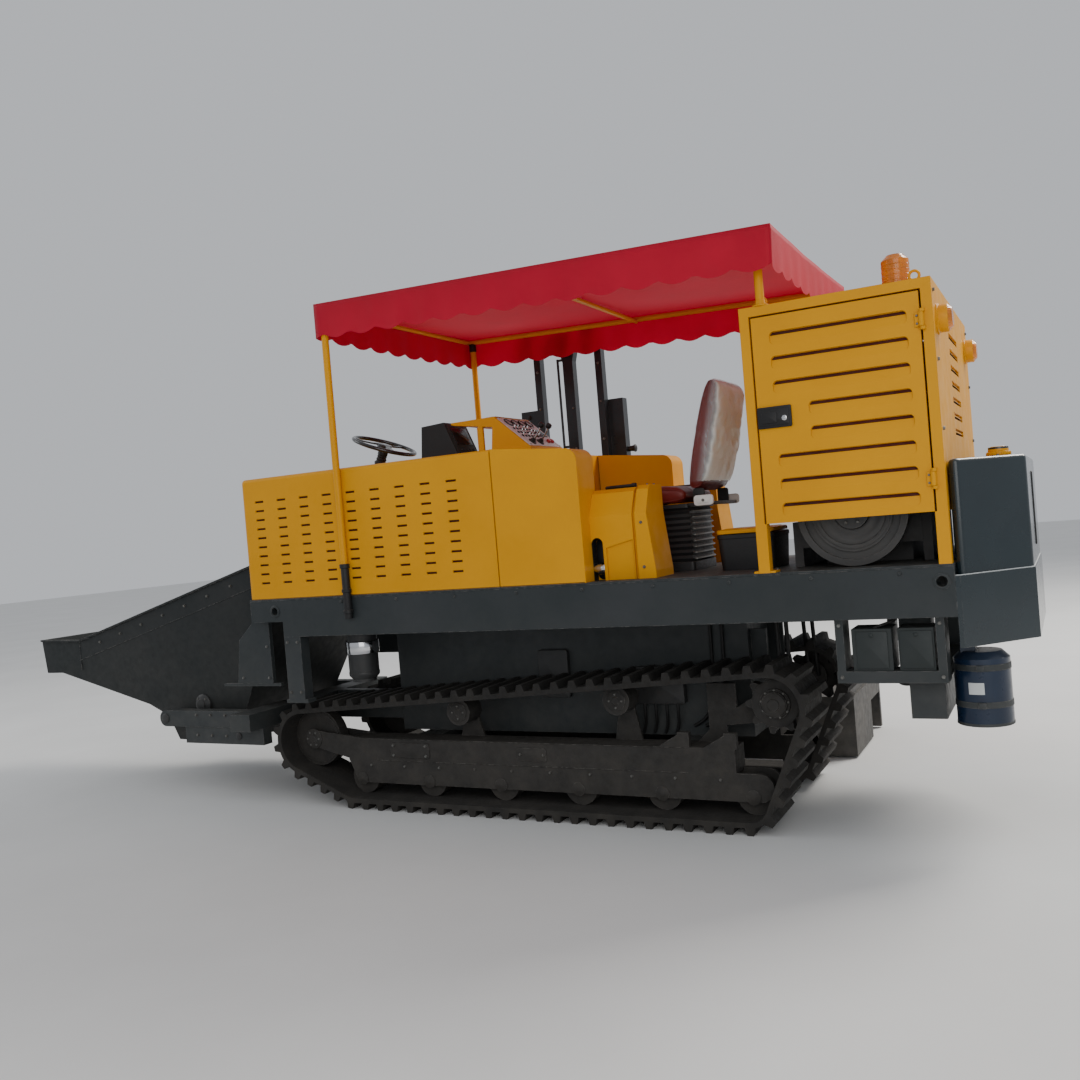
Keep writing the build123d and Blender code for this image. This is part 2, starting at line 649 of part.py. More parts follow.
DOOR = (house_rear + WALL + 8, house_front - WALL - 8)
LOUVRE = (55.0, 14.0, 20.0)  # height, depth at the top edge, corner radius
LOUVRE_TOP, LOUVRE_PITCH, LOUVRE_ROWS = 2248.0, 105.0, 8
SHORT_ROWS = (3, 4)  # the two rows beside the latch
LATCH = (-250.0, -112.0, 1840.0, 1926.0)
for hand, name in zip(SIDES, ("door_left", "door_right")):
    low, high = span(hand, HALF_WIDTH - LOUVRE[1], HALF_WIDTH)
    tops = [LOUVRE_TOP - LOUVRE_PITCH * n for n in range(LOUVRE_ROWS)]
    with BuildPart() as presses:
        for n, top in enumerate(tops):
            rear, front = DOOR[0] + 50, DOOR[1] - (220 if n in SHORT_ROWS else 75)
            with BuildSketch(side(high)) as face:
                with Locations(((rear + front) / 2, top - LOUVRE[0] / 2)):
                    RectangleRounded(front - rear, LOUVRE[0], LOUVRE[2])
            extrude(face.sketch, amount=LOUVRE[1])
        with BuildSketch(across(DOOR[0])) as slopes:
            for top in tops:
                foot = top - LOUVRE[0]
                Polygon((hand * (HALF_WIDTH - LOUVRE[1] - 1), top), (hand * (HALF_WIDTH - LOUVRE[1]), top),
                        (hand * HALF_WIDTH, foot), (hand * (HALF_WIDTH - LOUVRE[1] - 1), foot), align=None)
        extrude(slopes.sketch, amount=DOOR[1] - DOOR[0], mode=Mode.SUBTRACT)
    with BuildPart(DATUM) as leaf:
        block(*DOOR, *span(hand, HALF_WIDTH - DOOR_THICK, HALF_WIDTH), DOOR_LOW, HOUSE_TOP - WALL - 8)
        block(LATCH[0], LATCH[1], *span(hand, HALF_WIDTH, HALF_WIDTH + 8), LATCH[2], LATCH[3])
        for z in HINGE_HEIGHTS:
            bottom, top = z - BARREL_HALF, z + BARREL_HALF
            low, high = span(hand, HALF_WIDTH, HALF_WIDTH + 8)
            block(HINGE[0], HINGE[0] + 26, low, high, bottom, top)
            pillar(HINGE[0], hand * HINGE[1], BARREL_R, bottom, top)
            pillar(HINGE[0], hand * HINGE[1], PIN_R + 0.05, bottom, top, mode=Mode.SUBTRACT)
    with BuildPart() as door:
        add(leaf.part)
        add(presses.part, mode=Mode.SUBTRACT)
    save(door, name)

with BuildPart(DATUM) as engine:
    block(-700, -180, -420, 420, 1300, 1950)
    block(-640, -260, -300, 300, DECK_TOP, 1300 - WELD)
    for x in (-740, -180):
        block(x, x + 40 - WELD if x < -500 else x + 40, -420, 420, DECK_TOP, 1420)
save(engine, "engine_block")

DRUM = (-444.0, 1450.0)
DRUM_R = 232.0
with BuildPart() as drum:
    bar(*DRUM, DRUM_R, 560, 620)
    bar(*DRUM, DRUM_R - 28, 604, 620, mode=Mode.SUBTRACT)
    bar(*DRUM, DRUM_R - 62, 604, 616)
    bar(*DRUM, DRUM_R - 100, 604, 616, mode=Mode.SUBTRACT)
    bar(*DRUM, 72, 604, 628)
    bar(*DRUM, 60, 420, 560)
save(drum, "flywheel")

with BuildPart() as beacon:
    pillar(-676, 450, 66, HOUSE_TOP, HOUSE_TOP + 20)
    pillar(-676, 450, 58, HOUSE_TOP + 20, HOUSE_TOP + 172)
    chamfer(beacon.edges().group_by(Axis.Z)[-1], 24)
save(beacon, "beacon")

LAMP = (600.0, 2215.0, 55.0, 60.0)  # offset, height, radius, reach
with BuildPart() as lamps:
    for hand in SIDES:
        with BuildSketch(across(house_rear - LAMP[3])) as face:
            with Locations((hand * LAMP[0], LAMP[1])):
                Circle(LAMP[2])
        extrude(face.sketch, amount=LAMP[3])
    chamfer(lamps.edges().group_by(Axis.X)[0], 16)
save(lamps, "rear_lamps")

# Rear tank
with BuildPart() as tank_low:
    with BuildSketch(level(TANK_LOW)) as face:
        cut_x, cut_y = TANK_CHAMFER
        ring = ((TANK_FRONT, -HALF_WIDTH), (TANK_FRONT, HALF_WIDTH), (REAR_END + cut_x, HALF_WIDTH),
                (REAR_END, HALF_WIDTH - cut_y), (REAR_END, cut_y - HALF_WIDTH), (REAR_END + cut_x, -HALF_WIDTH))
        Polygon(*ring, align=None)
    extrude(face.sketch, amount=TANK_SEAM - TANK_LOW)
save(tank_low, "tank_lower")

with BuildPart() as tank_top:
    with BuildSketch(level(TANK_SEAM)) as face:
        top_y, back_y = HALF_WIDTH - TANK_INSET, HALF_WIDTH - cut_y
        Polygon((TANK_FRONT, -top_y), (TANK_FRONT, top_y), (REAR_END + 6, back_y), (REAR_END + 6, -back_y), align=None)
        fillet(face.vertices(), 25)
    extrude(face.sketch, amount=TANK_TOP - TANK_SEAM)
    fillet(tank_top.faces().sort_by(Axis.Z)[-1].edges(), 18)
    pillar(-1025, 430, 40, TANK_TOP, TANK_TOP + 38)
save(tank_top, "tank_upper")

# Rear underframe
with BuildPart(DATUM) as under:
    for hand in SIDES:
        low, high = span(hand, HALF_WIDTH - 150, HALF_WIDTH - 20)
        block(-794, -354, low, high, 730, 780)
        for x in (-794, -392):
            block(x, x + 35, low, high, 780, BEAM_LOW)
        block(-770, -629, *span(hand, HALF_WIDTH - 150, HALF_WIDTH - 110), 565, 730)
    block(-770, -629, -HALF_WIDTH + 150, HALF_WIDTH - 150, 565, 704)
save(under, "rear_underframe")

with BuildPart(DATUM) as boxes:
    for hand in SIDES:
        low, high = span(hand, HALF_WIDTH - 190, HALF_WIDTH - 30)
        block(-584, -422, low, high, 780, 957)
        block(-750, -609, low, high, 780, 957)
save(boxes, "service_boxes")

with BuildPart() as canister:
    pillar(-907, 540, 110, 534, 838)
    chamfer(canister.edges().group_by(Axis.Z)[-1], 28)
    plate(((-890, 815), (-890, TANK_LOW), (-832, TANK_LOW), (-832, 815)), 490, 590)
save(canister, "canister")

# Canopy
POST_X, POST_Y = 2182.0, HALF_WIDTH + 20.5
REAR_POST = (-150.0, 722.0)
with BuildPart() as posts:
    for hand in SIDES:
        pillar(POST_X, hand * POST_Y, 20.5, 1092, 1379)
        pillar(POST_X, hand * POST_Y, TUBE / 2, 1379, 2725)
        pillar(REAR_POST[0], hand * REAR_POST[1], TUBE / 2, HOUSE_TOP, 2660)
save(posts, "canopy_posts")

with BuildPart() as canopy:
    top = ((CANOPY_REAR, CANOPY_REAR_TOP), (CANOPY_FRONT, CANOPY_FRONT_TOP))
    reach = CANOPY_HALF + CLOTH
    outline = (top[0], top[1], (top[1][0], top[1][1] - VALANCE), (top[0][0], top[0][1] - VALANCE))
    plate(outline, -reach, reach)
    inner = ((top[0][0] + CLOTH, top[0][1] - CLOTH), (top[1][0] - CLOTH, top[1][1] - CLOTH),
             (top[1][0] - CLOTH, top[1][1] - VALANCE - 20), (top[0][0] + CLOTH, top[0][1] - VALANCE - 20))
    plate(inner, -CANOPY_HALF, CANOPY_HALF, mode=Mode.SUBTRACT)
save(canopy, "canopy")

# Mast and mould on the far side
GUIDES = (1288.0, 1722.0)  # rear faces of the two guide posts
GUIDE = (46.0, 60.0)  # along X, along Y
MAST_Y = (-HALF_WIDTH - 140.0, -HALF_WIDTH - 80.0)
HEAD = ((1490, 2540), (1560, 2540), (1590, 2655), (1590, 2745), (1460, 2745), (1460, 2655))
with BuildPart(DATUM) as mast:
    for x in GUIDES:
        block(x, x + GUIDE[0], *MAST_Y, 620, MAST_TOP)
        block(x, x + GUIDE[0], MAST_Y[1], -HALF_WIDTH, 1010, 1060)
        block(x, x + GUIDE[0], MAST_Y[1], -HALF_WIDTH, 1150, 1200)
    block(GUIDES[0] + GUIDE[0], GUIDES[1], *MAST_Y, 1010, 1060)
    block(1490, 1560, *MAST_Y, 1060, 2540)
    plate(HEAD, *MAST_Y)
    block(1190, 1330, MAST_Y[0] - 70, MAST_Y[0], 1700, 2270)
    block(GUIDES[1] + GUIDE[0], 1888, *MAST_Y, 2122, 2255)
    rail_y = sum(MAST_Y) / 2
    pillar(1608, rail_y, 8, 1990, 2568)
    for z in (1998, 2560):
        rod_x(rail_y, z, 8, 1555, 1608)
    rod_x(MAST_Y[0] - 35, 1945, 18, 1150, 1190)
save(mast, "mast")

with BuildPart(DATUM) as carriage:
    for x in GUIDES:
        low, high = MAST_Y
        block(x - 30, x + GUIDE[0] + 30, low - 30, high + 24, 640, 700)
        block(x - 0.1, x + GUIDE[0] + 0.1, low - 0.1, high + 0.1, 640, 700, mode=Mode.SUBTRACT)
    block(GUIDES[0] - 30, GUIDES[1] + GUIDE[0] + 30, -950, -920, 360, 700)
save(carriage, "mould_carriage")

with BuildPart() as mould:
    with BuildSketch(across(MOULD[0])) as face:
        Polygon((MOULD_NEAR, MOULD_FOOT), (MOULD_NEAR, 360), (-1400, 360), (-1450, 420), (MOULD_FAR, 420),
                (MOULD_FAR, MOULD_FOOT), (MOULD_FAR + 40, MOULD_FOOT), (MOULD_FAR + 40, MOULD_FOOT + KERB_HEIGHT),
                (MOULD_FAR + 40 + KERB_WIDTH, MOULD_FOOT + KERB_HEIGHT), (MOULD_FAR + 40 + KERB_WIDTH, MOULD_FOOT),
                align=None)
    extrude(face.sketch, amount=MOULD[1] - MOULD[0])
save(mould, "kerb_mould")
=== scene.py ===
"""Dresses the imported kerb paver: paint, cloth roof, seat, louvres, hoses and small fittings."""

from __future__ import annotations

import json
import logging
import math
from dataclasses import dataclass
from enum import Enum
from typing import Iterable, Sequence

import bmesh
import bpy
from mathutils import Matrix, Vector, noise

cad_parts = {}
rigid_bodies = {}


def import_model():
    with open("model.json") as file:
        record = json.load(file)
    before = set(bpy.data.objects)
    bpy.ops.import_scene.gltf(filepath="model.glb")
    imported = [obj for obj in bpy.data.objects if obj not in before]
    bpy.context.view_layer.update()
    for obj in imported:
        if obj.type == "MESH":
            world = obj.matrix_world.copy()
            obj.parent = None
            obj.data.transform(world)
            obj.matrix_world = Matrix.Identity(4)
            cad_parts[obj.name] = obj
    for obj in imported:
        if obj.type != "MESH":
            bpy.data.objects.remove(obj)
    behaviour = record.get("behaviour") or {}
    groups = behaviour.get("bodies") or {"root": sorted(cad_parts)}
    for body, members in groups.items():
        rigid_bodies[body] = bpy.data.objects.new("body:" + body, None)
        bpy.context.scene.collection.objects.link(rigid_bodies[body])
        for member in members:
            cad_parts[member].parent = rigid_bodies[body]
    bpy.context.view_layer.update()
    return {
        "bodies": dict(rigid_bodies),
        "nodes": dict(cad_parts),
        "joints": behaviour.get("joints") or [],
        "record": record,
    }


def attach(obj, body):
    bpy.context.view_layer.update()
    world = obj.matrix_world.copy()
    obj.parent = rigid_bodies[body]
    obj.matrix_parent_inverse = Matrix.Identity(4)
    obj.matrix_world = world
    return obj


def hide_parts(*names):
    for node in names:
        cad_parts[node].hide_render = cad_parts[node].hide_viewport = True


LOG = logging.getLogger("kerb_paver")
Colour = tuple[float, float, float]
Point = tuple[float, float, float]

# The machine's own datum: stations run ahead of the sprocket axis, offsets to the left of the middle plane
# and heights above the ground
DATUM_X, DATUM_Y = -1965.5, 499.0
CYLINDER_X = 2303.0


def at(x: float, y: float, z: float) -> Vector:
    """Point of the machine, in millimetres from its own datum, as metres in the row frame."""
    return Vector(((x + DATUM_X) / 1000.0, (y + DATUM_Y) / 1000.0, z / 1000.0))


class Body(Enum):
    """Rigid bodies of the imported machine."""

    CHASSIS = "chassis"
    LEFT_DOOR = "left_door"
    RIGHT_DOOR = "right_door"
    WHEEL = "wheel"
    LID = "box_lid"
    MOULD = "mould_unit"


class Slot(Enum):
    """Material slots of the record."""

    YELLOW = "yellow"
    FRAME = "frame_grey"
    BELT = "belt_rubber"
    UNDER = "undercarriage"
    HOPPER = "hopper_grey"
    AUGER = "auger_steel"
    CONSOLE = "console_grey"
    BLACK = "black_plastic"
    RIM = "wheel_rim"
    SEAT = "seat_vinyl"
    ENGINE = "engine_iron"
    AMBER = "amber"
    TANK = "tank_blue"
    CANISTER = "canister_blue"
    CANOPY = "canopy_red"
    TUBE = "tube_yellow"
    MOULD = "mould_steel"
    MAST = "mast_black"
    CYLINDER = "cylinder_steel"


class Look(Enum):
    """Finishes that small pieces have instead of their slot's own."""

    FILM = "wrapping film"
    CHROME = "bright plating"
    BOLTS = "zinc bolts"
    # painted shade: a dark sheet put in openings, slots and recesses to stand in for the shade inside them
    LINER = "shaded inside"
    PLATE = "pale blank plate"
    DIAL = "dial face"
    SCREEN = "dark glass"
    RED = "red knob"
    HOSE = "hose rubber"
    CLEAR = "milky plastic"


ENAMEL: Colour = (0.70, 0.315, 0.0005)
ENAMEL_SHADE: Colour = (0.64, 0.280, 0.0005)
DARK_DUST: Colour = (0.16, 0.15, 0.13)
TRACK_DUST: Colour = (0.14, 0.125, 0.105)


class Graph:
    """Short hand for building a material's nodes."""

    def __init__(self, name: str) -> None:
        """Starts a material with an empty principled shader."""
        self.material = bpy.data.materials.new(name)
        self.material.use_nodes = True
        self.tree = self.material.node_tree
        self.shader = self.tree.nodes["Principled BSDF"]
        self.coords = self.node("ShaderNodeTexCoord").outputs["Object"]
        self.normal = self.node("ShaderNodeNewGeometry").outputs["Normal"]

    def node(self, kind: str, **values: object) -> bpy.types.Node:
        """Adds a node and sets its inputs or attributes by name.

        Args:
            kind: Blender's node type.
            **values: Attributes, or inputs written with an underscore for each space.

        Returns:
            The new node.
        """
        made = self.tree.nodes.new(kind)
        for key, value in values.items():
            if hasattr(made, key):
                setattr(made, key, value)
            else:
                made.inputs[key.replace("_", " ")].default_value = value
        return made

    def link(self, source: bpy.types.NodeSocket, target: bpy.types.NodeSocket) -> None:
        """Joins two sockets."""
        self.tree.links.new(source, target)

    def set(self, name: str, value: object) -> None:
        """Sets one of the shader's own sockets."""
        self.shader.inputs[name].default_value = value

    def speckle(self, scale: float, detail: float = 3.0,
                stretch: Point = (1.0, 1.0, 1.0)) -> bpy.types.NodeSocket:
        """Noise over the surface.

        Args:
            scale: Grains per metre.
            detail: Octaves.
            stretch: Scale along each axis of the row frame.

        Returns:
            The noise's value.
        """
        place = self.node("ShaderNodeMapping")
        place.inputs["Scale"].default_value = stretch
        self.link(self.coords, place.inputs["Vector"])
        grain = self.node("ShaderNodeTexNoise", Scale=scale, Detail=detail, Roughness=0.6)
        self.link(place.outputs["Vector"], grain.inputs["Vector"])
        return grain.outputs["Fac"]

    def ramp(self, source: bpy.types.NodeSocket, low: float, high: float, bottom: float = 0.0,
             top: float = 1.0) -> bpy.types.NodeSocket:
        """Maps a range of a value to another, clamped.

        Args:
            source: The value.
            low: Where the ramp starts.
            high: Where it ends.
            bottom: Result at the start.
            top: Result at the end.

        Returns:
            The mapped value.
        """
        spread = self.node("ShaderNodeMapRange")
        self.link(source, spread.inputs["Value"])
        for name, value in (("From Min", low), ("From Max", high), ("To Min", bottom), ("To Max", top)):
            spread.inputs[name].default_value = value
        return spread.outputs["Result"]

    def times(self, first: bpy.types.NodeSocket, second: bpy.types.NodeSocket | float,
              operation: str = "MULTIPLY") -> bpy.types.NodeSocket:
        """Combines two values.

        Args:
            first: A socket.
            second: A socket or a number.
            operation: Blender's name of the operation.

        Returns:
            The result.
        """
        sums = self.node("ShaderNodeMath", operation=operation)
        self.link(first, sums.inputs[0])
        if isinstance(second, (int, float)):
            sums.inputs[1].default_value = second
        else:
            self.link(second, sums.inputs[1])
        return sums.outputs[0]

    def blend(self, share: bpy.types.NodeSocket, base: bpy.types.NodeSocket | Colour,
              over: bpy.types.NodeSocket | Colour) -> bpy.types.NodeSocket:
        """Mixes two colours by a mask.

        Args:
            share: The mask, 0 for the base.
            base: Colour or socket.
            over: Colour or socket.

        Returns:
            The mixed colour.
        """
        mix = self.node("ShaderNodeMix", data_type="RGBA")
        self.link(share, mix.inputs["Factor"])
        for socket, value in ((mix.inputs[6], base), (mix.inputs[7], over)):
            if isinstance(value, tuple):
                socket.default_value = (*value, 1.0)
            else:
                self.link(value, socket)
        return mix.outputs[2]

    def height(self) -> bpy.types.NodeSocket:
        """Height above the ground, in metres."""
        parts = self.node("ShaderNodeSeparateXYZ")
        self.link(self.coords, parts.inputs[0])
        return parts.outputs["Z"]

    def facing_up(self) -> bpy.types.NodeSocket:
        """Upward part of the surface's normal."""
        parts = self.node("ShaderNodeSeparateXYZ")
        self.link(self.normal, parts.inputs[0])
        return parts.outputs["Z"]

    def bump(self, source: bpy.types.NodeSocket, depth: float, strength: float = 1.0,
             soft_edge: float = 0.0) -> None:
        """Raises the surface by a value.

        Args:
            source: The height, from 0 to 1.
            depth: Height in metres.
            strength: Blender's bump strength.
            soft_edge: Radius in metres by which corners look rounded, or 0.
        """
        relief = self.node("ShaderNodeBump", Distance=depth, Strength=strength)
        self.link(source, relief.inputs["Height"])
        if soft_edge:
            corner = self.node("ShaderNodeBevel", samples=4, Radius=soft_edge)
            self.link(corner.outputs["Normal"], relief.inputs["Normal"])
        self.link(relief.outputs["Normal"], self.shader.inputs["Normal"])

    def edges(self, radius: float) -> bpy.types.NodeSocket:
        """Mask of the sharp corners: 1 on an edge and 0 on a flat face.

        Args:
            radius: How far from the corner it reaches, in metres.

        Returns:
            The mask.
        """
        corner = self.node("ShaderNodeBevel", samples=4, Radius=radius)
        facing = self.node("ShaderNodeVectorMath", operation="DOT_PRODUCT")
        self.link(corner.outputs["Normal"], facing.inputs[0])
        self.link(self.normal, facing.inputs[1])
        return self.ramp(facing.outputs["Value"], 0.99, 0.80)


@dataclass(frozen=True)
class Finish:
    """Paint, casting or plastic with uneven tone, dust that has settled on it and worn corners."""

    name: str
    colour: Colour
    shade: Colour
    roughness: float = 0.4
    metallic: float = 0.0
    coat: float = 0.0
    grain: float = 60.0
    relief: float = 0.0004
    dust: float = 0.3
    dust_colour: Colour = (0.36, 0.31, 0.25)
    low_dust: float = 0.0
    wear: float = 0.0
    wear_colour: Colour = (0.30, 0.28, 0.26)
    corner: float = 0.003
    mottle: float = 2.5
    specular: float = 0.35

    def build(self) -> bpy.types.Material:
        """Makes the material.

        Returns:
            The material, ready to assign.
        """
        graph = Graph(self.name)
        tone = graph.ramp(graph.speckle(self.mottle, 5.0), 0.35, 0.70)
        colour = graph.blend(tone, self.colour, self.shade)
        patches = graph.speckle(9.0, 6.0)
        settled = graph.ramp(graph.facing_up(), 0.25, 1.0)
        settled = graph.times(settled, graph.ramp(patches, 0.35, 0.75, 0.35, 1.0))
        mask = graph.times(settled, self.dust)
        if self.low_dust:
            splash = graph.ramp(graph.height(), 1.15, 0.05, 0.0, self.low_dust)
            splash = graph.times(splash, graph.ramp(patches, 0.3, 0.65, 0.2, 1.0))
            mask = graph.times(mask, splash, "MAXIMUM")
        colour = graph.blend(mask, colour, self.dust_colour)
        if self.wear:
            chips = graph.edges(self.corner * 2.0)
            worn = graph.times(chips, graph.ramp(graph.speckle(35.0, 4.0), 0.45, 0.6))
            colour = graph.blend(graph.times(worn, self.wear), colour, self.wear_colour)
        graph.link(colour, graph.shader.inputs["Base Color"])
        rough = graph.ramp(graph.speckle(self.grain * 0.4, 4.0), 0.3, 0.7, self.roughness * 0.8,
                           min(1.0, self.roughness * 1.25))
        rough = graph.times(rough, graph.times(mask, 0.5), "ADD")
        graph.link(rough, graph.shader.inputs["Roughness"])
        graph.set("Metallic", self.metallic)
        graph.set("Specular IOR Level", self.specular)
        graph.set("Coat Weight", self.coat)
        graph.set("Coat Roughness", 0.12)
        graph.bump(graph.speckle(self.grain, 5.0), self.relief, soft_edge=self.corner)
        return graph.material


@dataclass(frozen=True)
class ClothFinish:
    """Woven coated cloth with a thread weave, folds of tone and some light through it."""

    name: str
    colour: Colour
    shade: Colour
    threads: float = 700.0
    glow: float = 0.25

    def build(self) -> bpy.types.Material:
        """Makes the material.

        Returns:
            The material.
        """
        graph = Graph(self.name)
        tone = graph.ramp(graph.speckle(3.0, 4.0), 0.3, 0.7)
        colour = graph.blend(tone, self.colour, self.shade)
        stain = graph.ramp(graph.speckle(7.0, 6.0), 0.55, 0.8, 0.0, 0.2)
        colour = graph.blend(stain, colour, tuple(0.6 * c + 0.03 for c in self.colour))
        graph.link(colour, graph.shader.inputs["Base Color"])
        graph.set("Roughness", 0.62)
        graph.set("Sheen Weight", 0.06)
        graph.set("Sheen Roughness", 0.5)
        graph.set("Specular IOR Level", 0.25)
        waves = []
        for axis in ("X", "Y"):
            wave = graph.node("ShaderNodeTexWave", wave_type="BANDS", bands_direction=axis,
                              Scale=self.threads / 6.28)
            graph.link(graph.coords, wave.inputs["Vector"])
            waves.append(wave.outputs["Fac"])
        weave = graph.times(waves[0], waves[1])
        graph.bump(weave, 0.0004, 0.5)
        light = graph.node("ShaderNodeBsdfTranslucent")
        graph.link(colour, light.inputs["Color"])
        both = graph.node("ShaderNodeMixShader")
        both.inputs[0].default_value = self.glow
        graph.link(graph.shader.outputs[0], both.inputs[1])
        graph.link(light.outputs[0], both.inputs[2])
        graph.link(both.outputs[0], graph.tree.nodes["Material Output"].inputs["Surface"])
        return graph.material


@dataclass(frozen=True)
class LensFinish:
    """Moulded amber plastic lens."""

    name: str
    colour: Colour

    def build(self) -> bpy.types.Material:
        """Makes the material.

        Returns:
            The material.
        """
        graph = Graph(self.name)
        tone = graph.ramp(graph.speckle(18.0, 2.0), 0.3, 0.7)
        deep = tuple(c * 0.55 for c in self.colour)
        graph.link(graph.blend(tone, self.colour, deep), graph.shader.inputs["Base Color"])
        graph.set("Roughness", 0.18)
        graph.set("Transmission Weight", 0.35)
        graph.set("IOR", 1.49)
        ribs = graph.node("ShaderNodeTexWave", wave_type="BANDS", bands_direction="Z", Scale=30.0)
        graph.link(graph.coords, ribs.inputs["Vector"])
        graph.bump(ribs.outputs["Fac"], 0.0008, 0.6)
        return graph.material


@dataclass(frozen=True)
class FilmFinish:
    """Thin crumpled wrapping film: milky on the rear of the seat, half clear on its sides and clear in front."""

    name: str = "wrapping film"
    rear_lean: float = 0.234
    milky_from: float = -1.275
    clear_from: float = -1.225

    def build(self) -> bpy.types.Material:
        """Makes the material.

        Returns:
            The material.
        """
        graph = Graph(self.name)
        # painted light: the cool blue tint offsets the warm light reaching the film under the canopy
        graph.set("Base Color", (0.82, 0.95, 0.99, 1.0))
        graph.set("Roughness", 0.30)
        parts = graph.node("ShaderNodeSeparateXYZ")
        graph.link(graph.normal, parts.inputs[0])
        aside = graph.times(parts.outputs["Y"], parts.outputs["Y"])
        place = graph.node("ShaderNodeSeparateXYZ")
        graph.link(graph.coords, place.inputs[0])
        depth = graph.times(place.outputs["X"], graph.times(place.outputs["Z"], self.rear_lean), "ADD")
        sides = graph.ramp(aside, 0.45, 0.86, 1.0, 0.35)
        milky = graph.times(sides, graph.ramp(depth, self.milky_from, self.clear_from, 1.0, 0.08))
        creases = graph.ramp(graph.speckle(14.0, 4.0, (1.0, 1.0, 0.4)), 0.58, 0.76, 0.0, 0.24)
        graph.link(graph.times(milky, creases, "ADD"), graph.shader.inputs["Alpha"])
        graph.bump(graph.speckle(30.0, 6.0), 0.010, 0.8)
        return graph.material


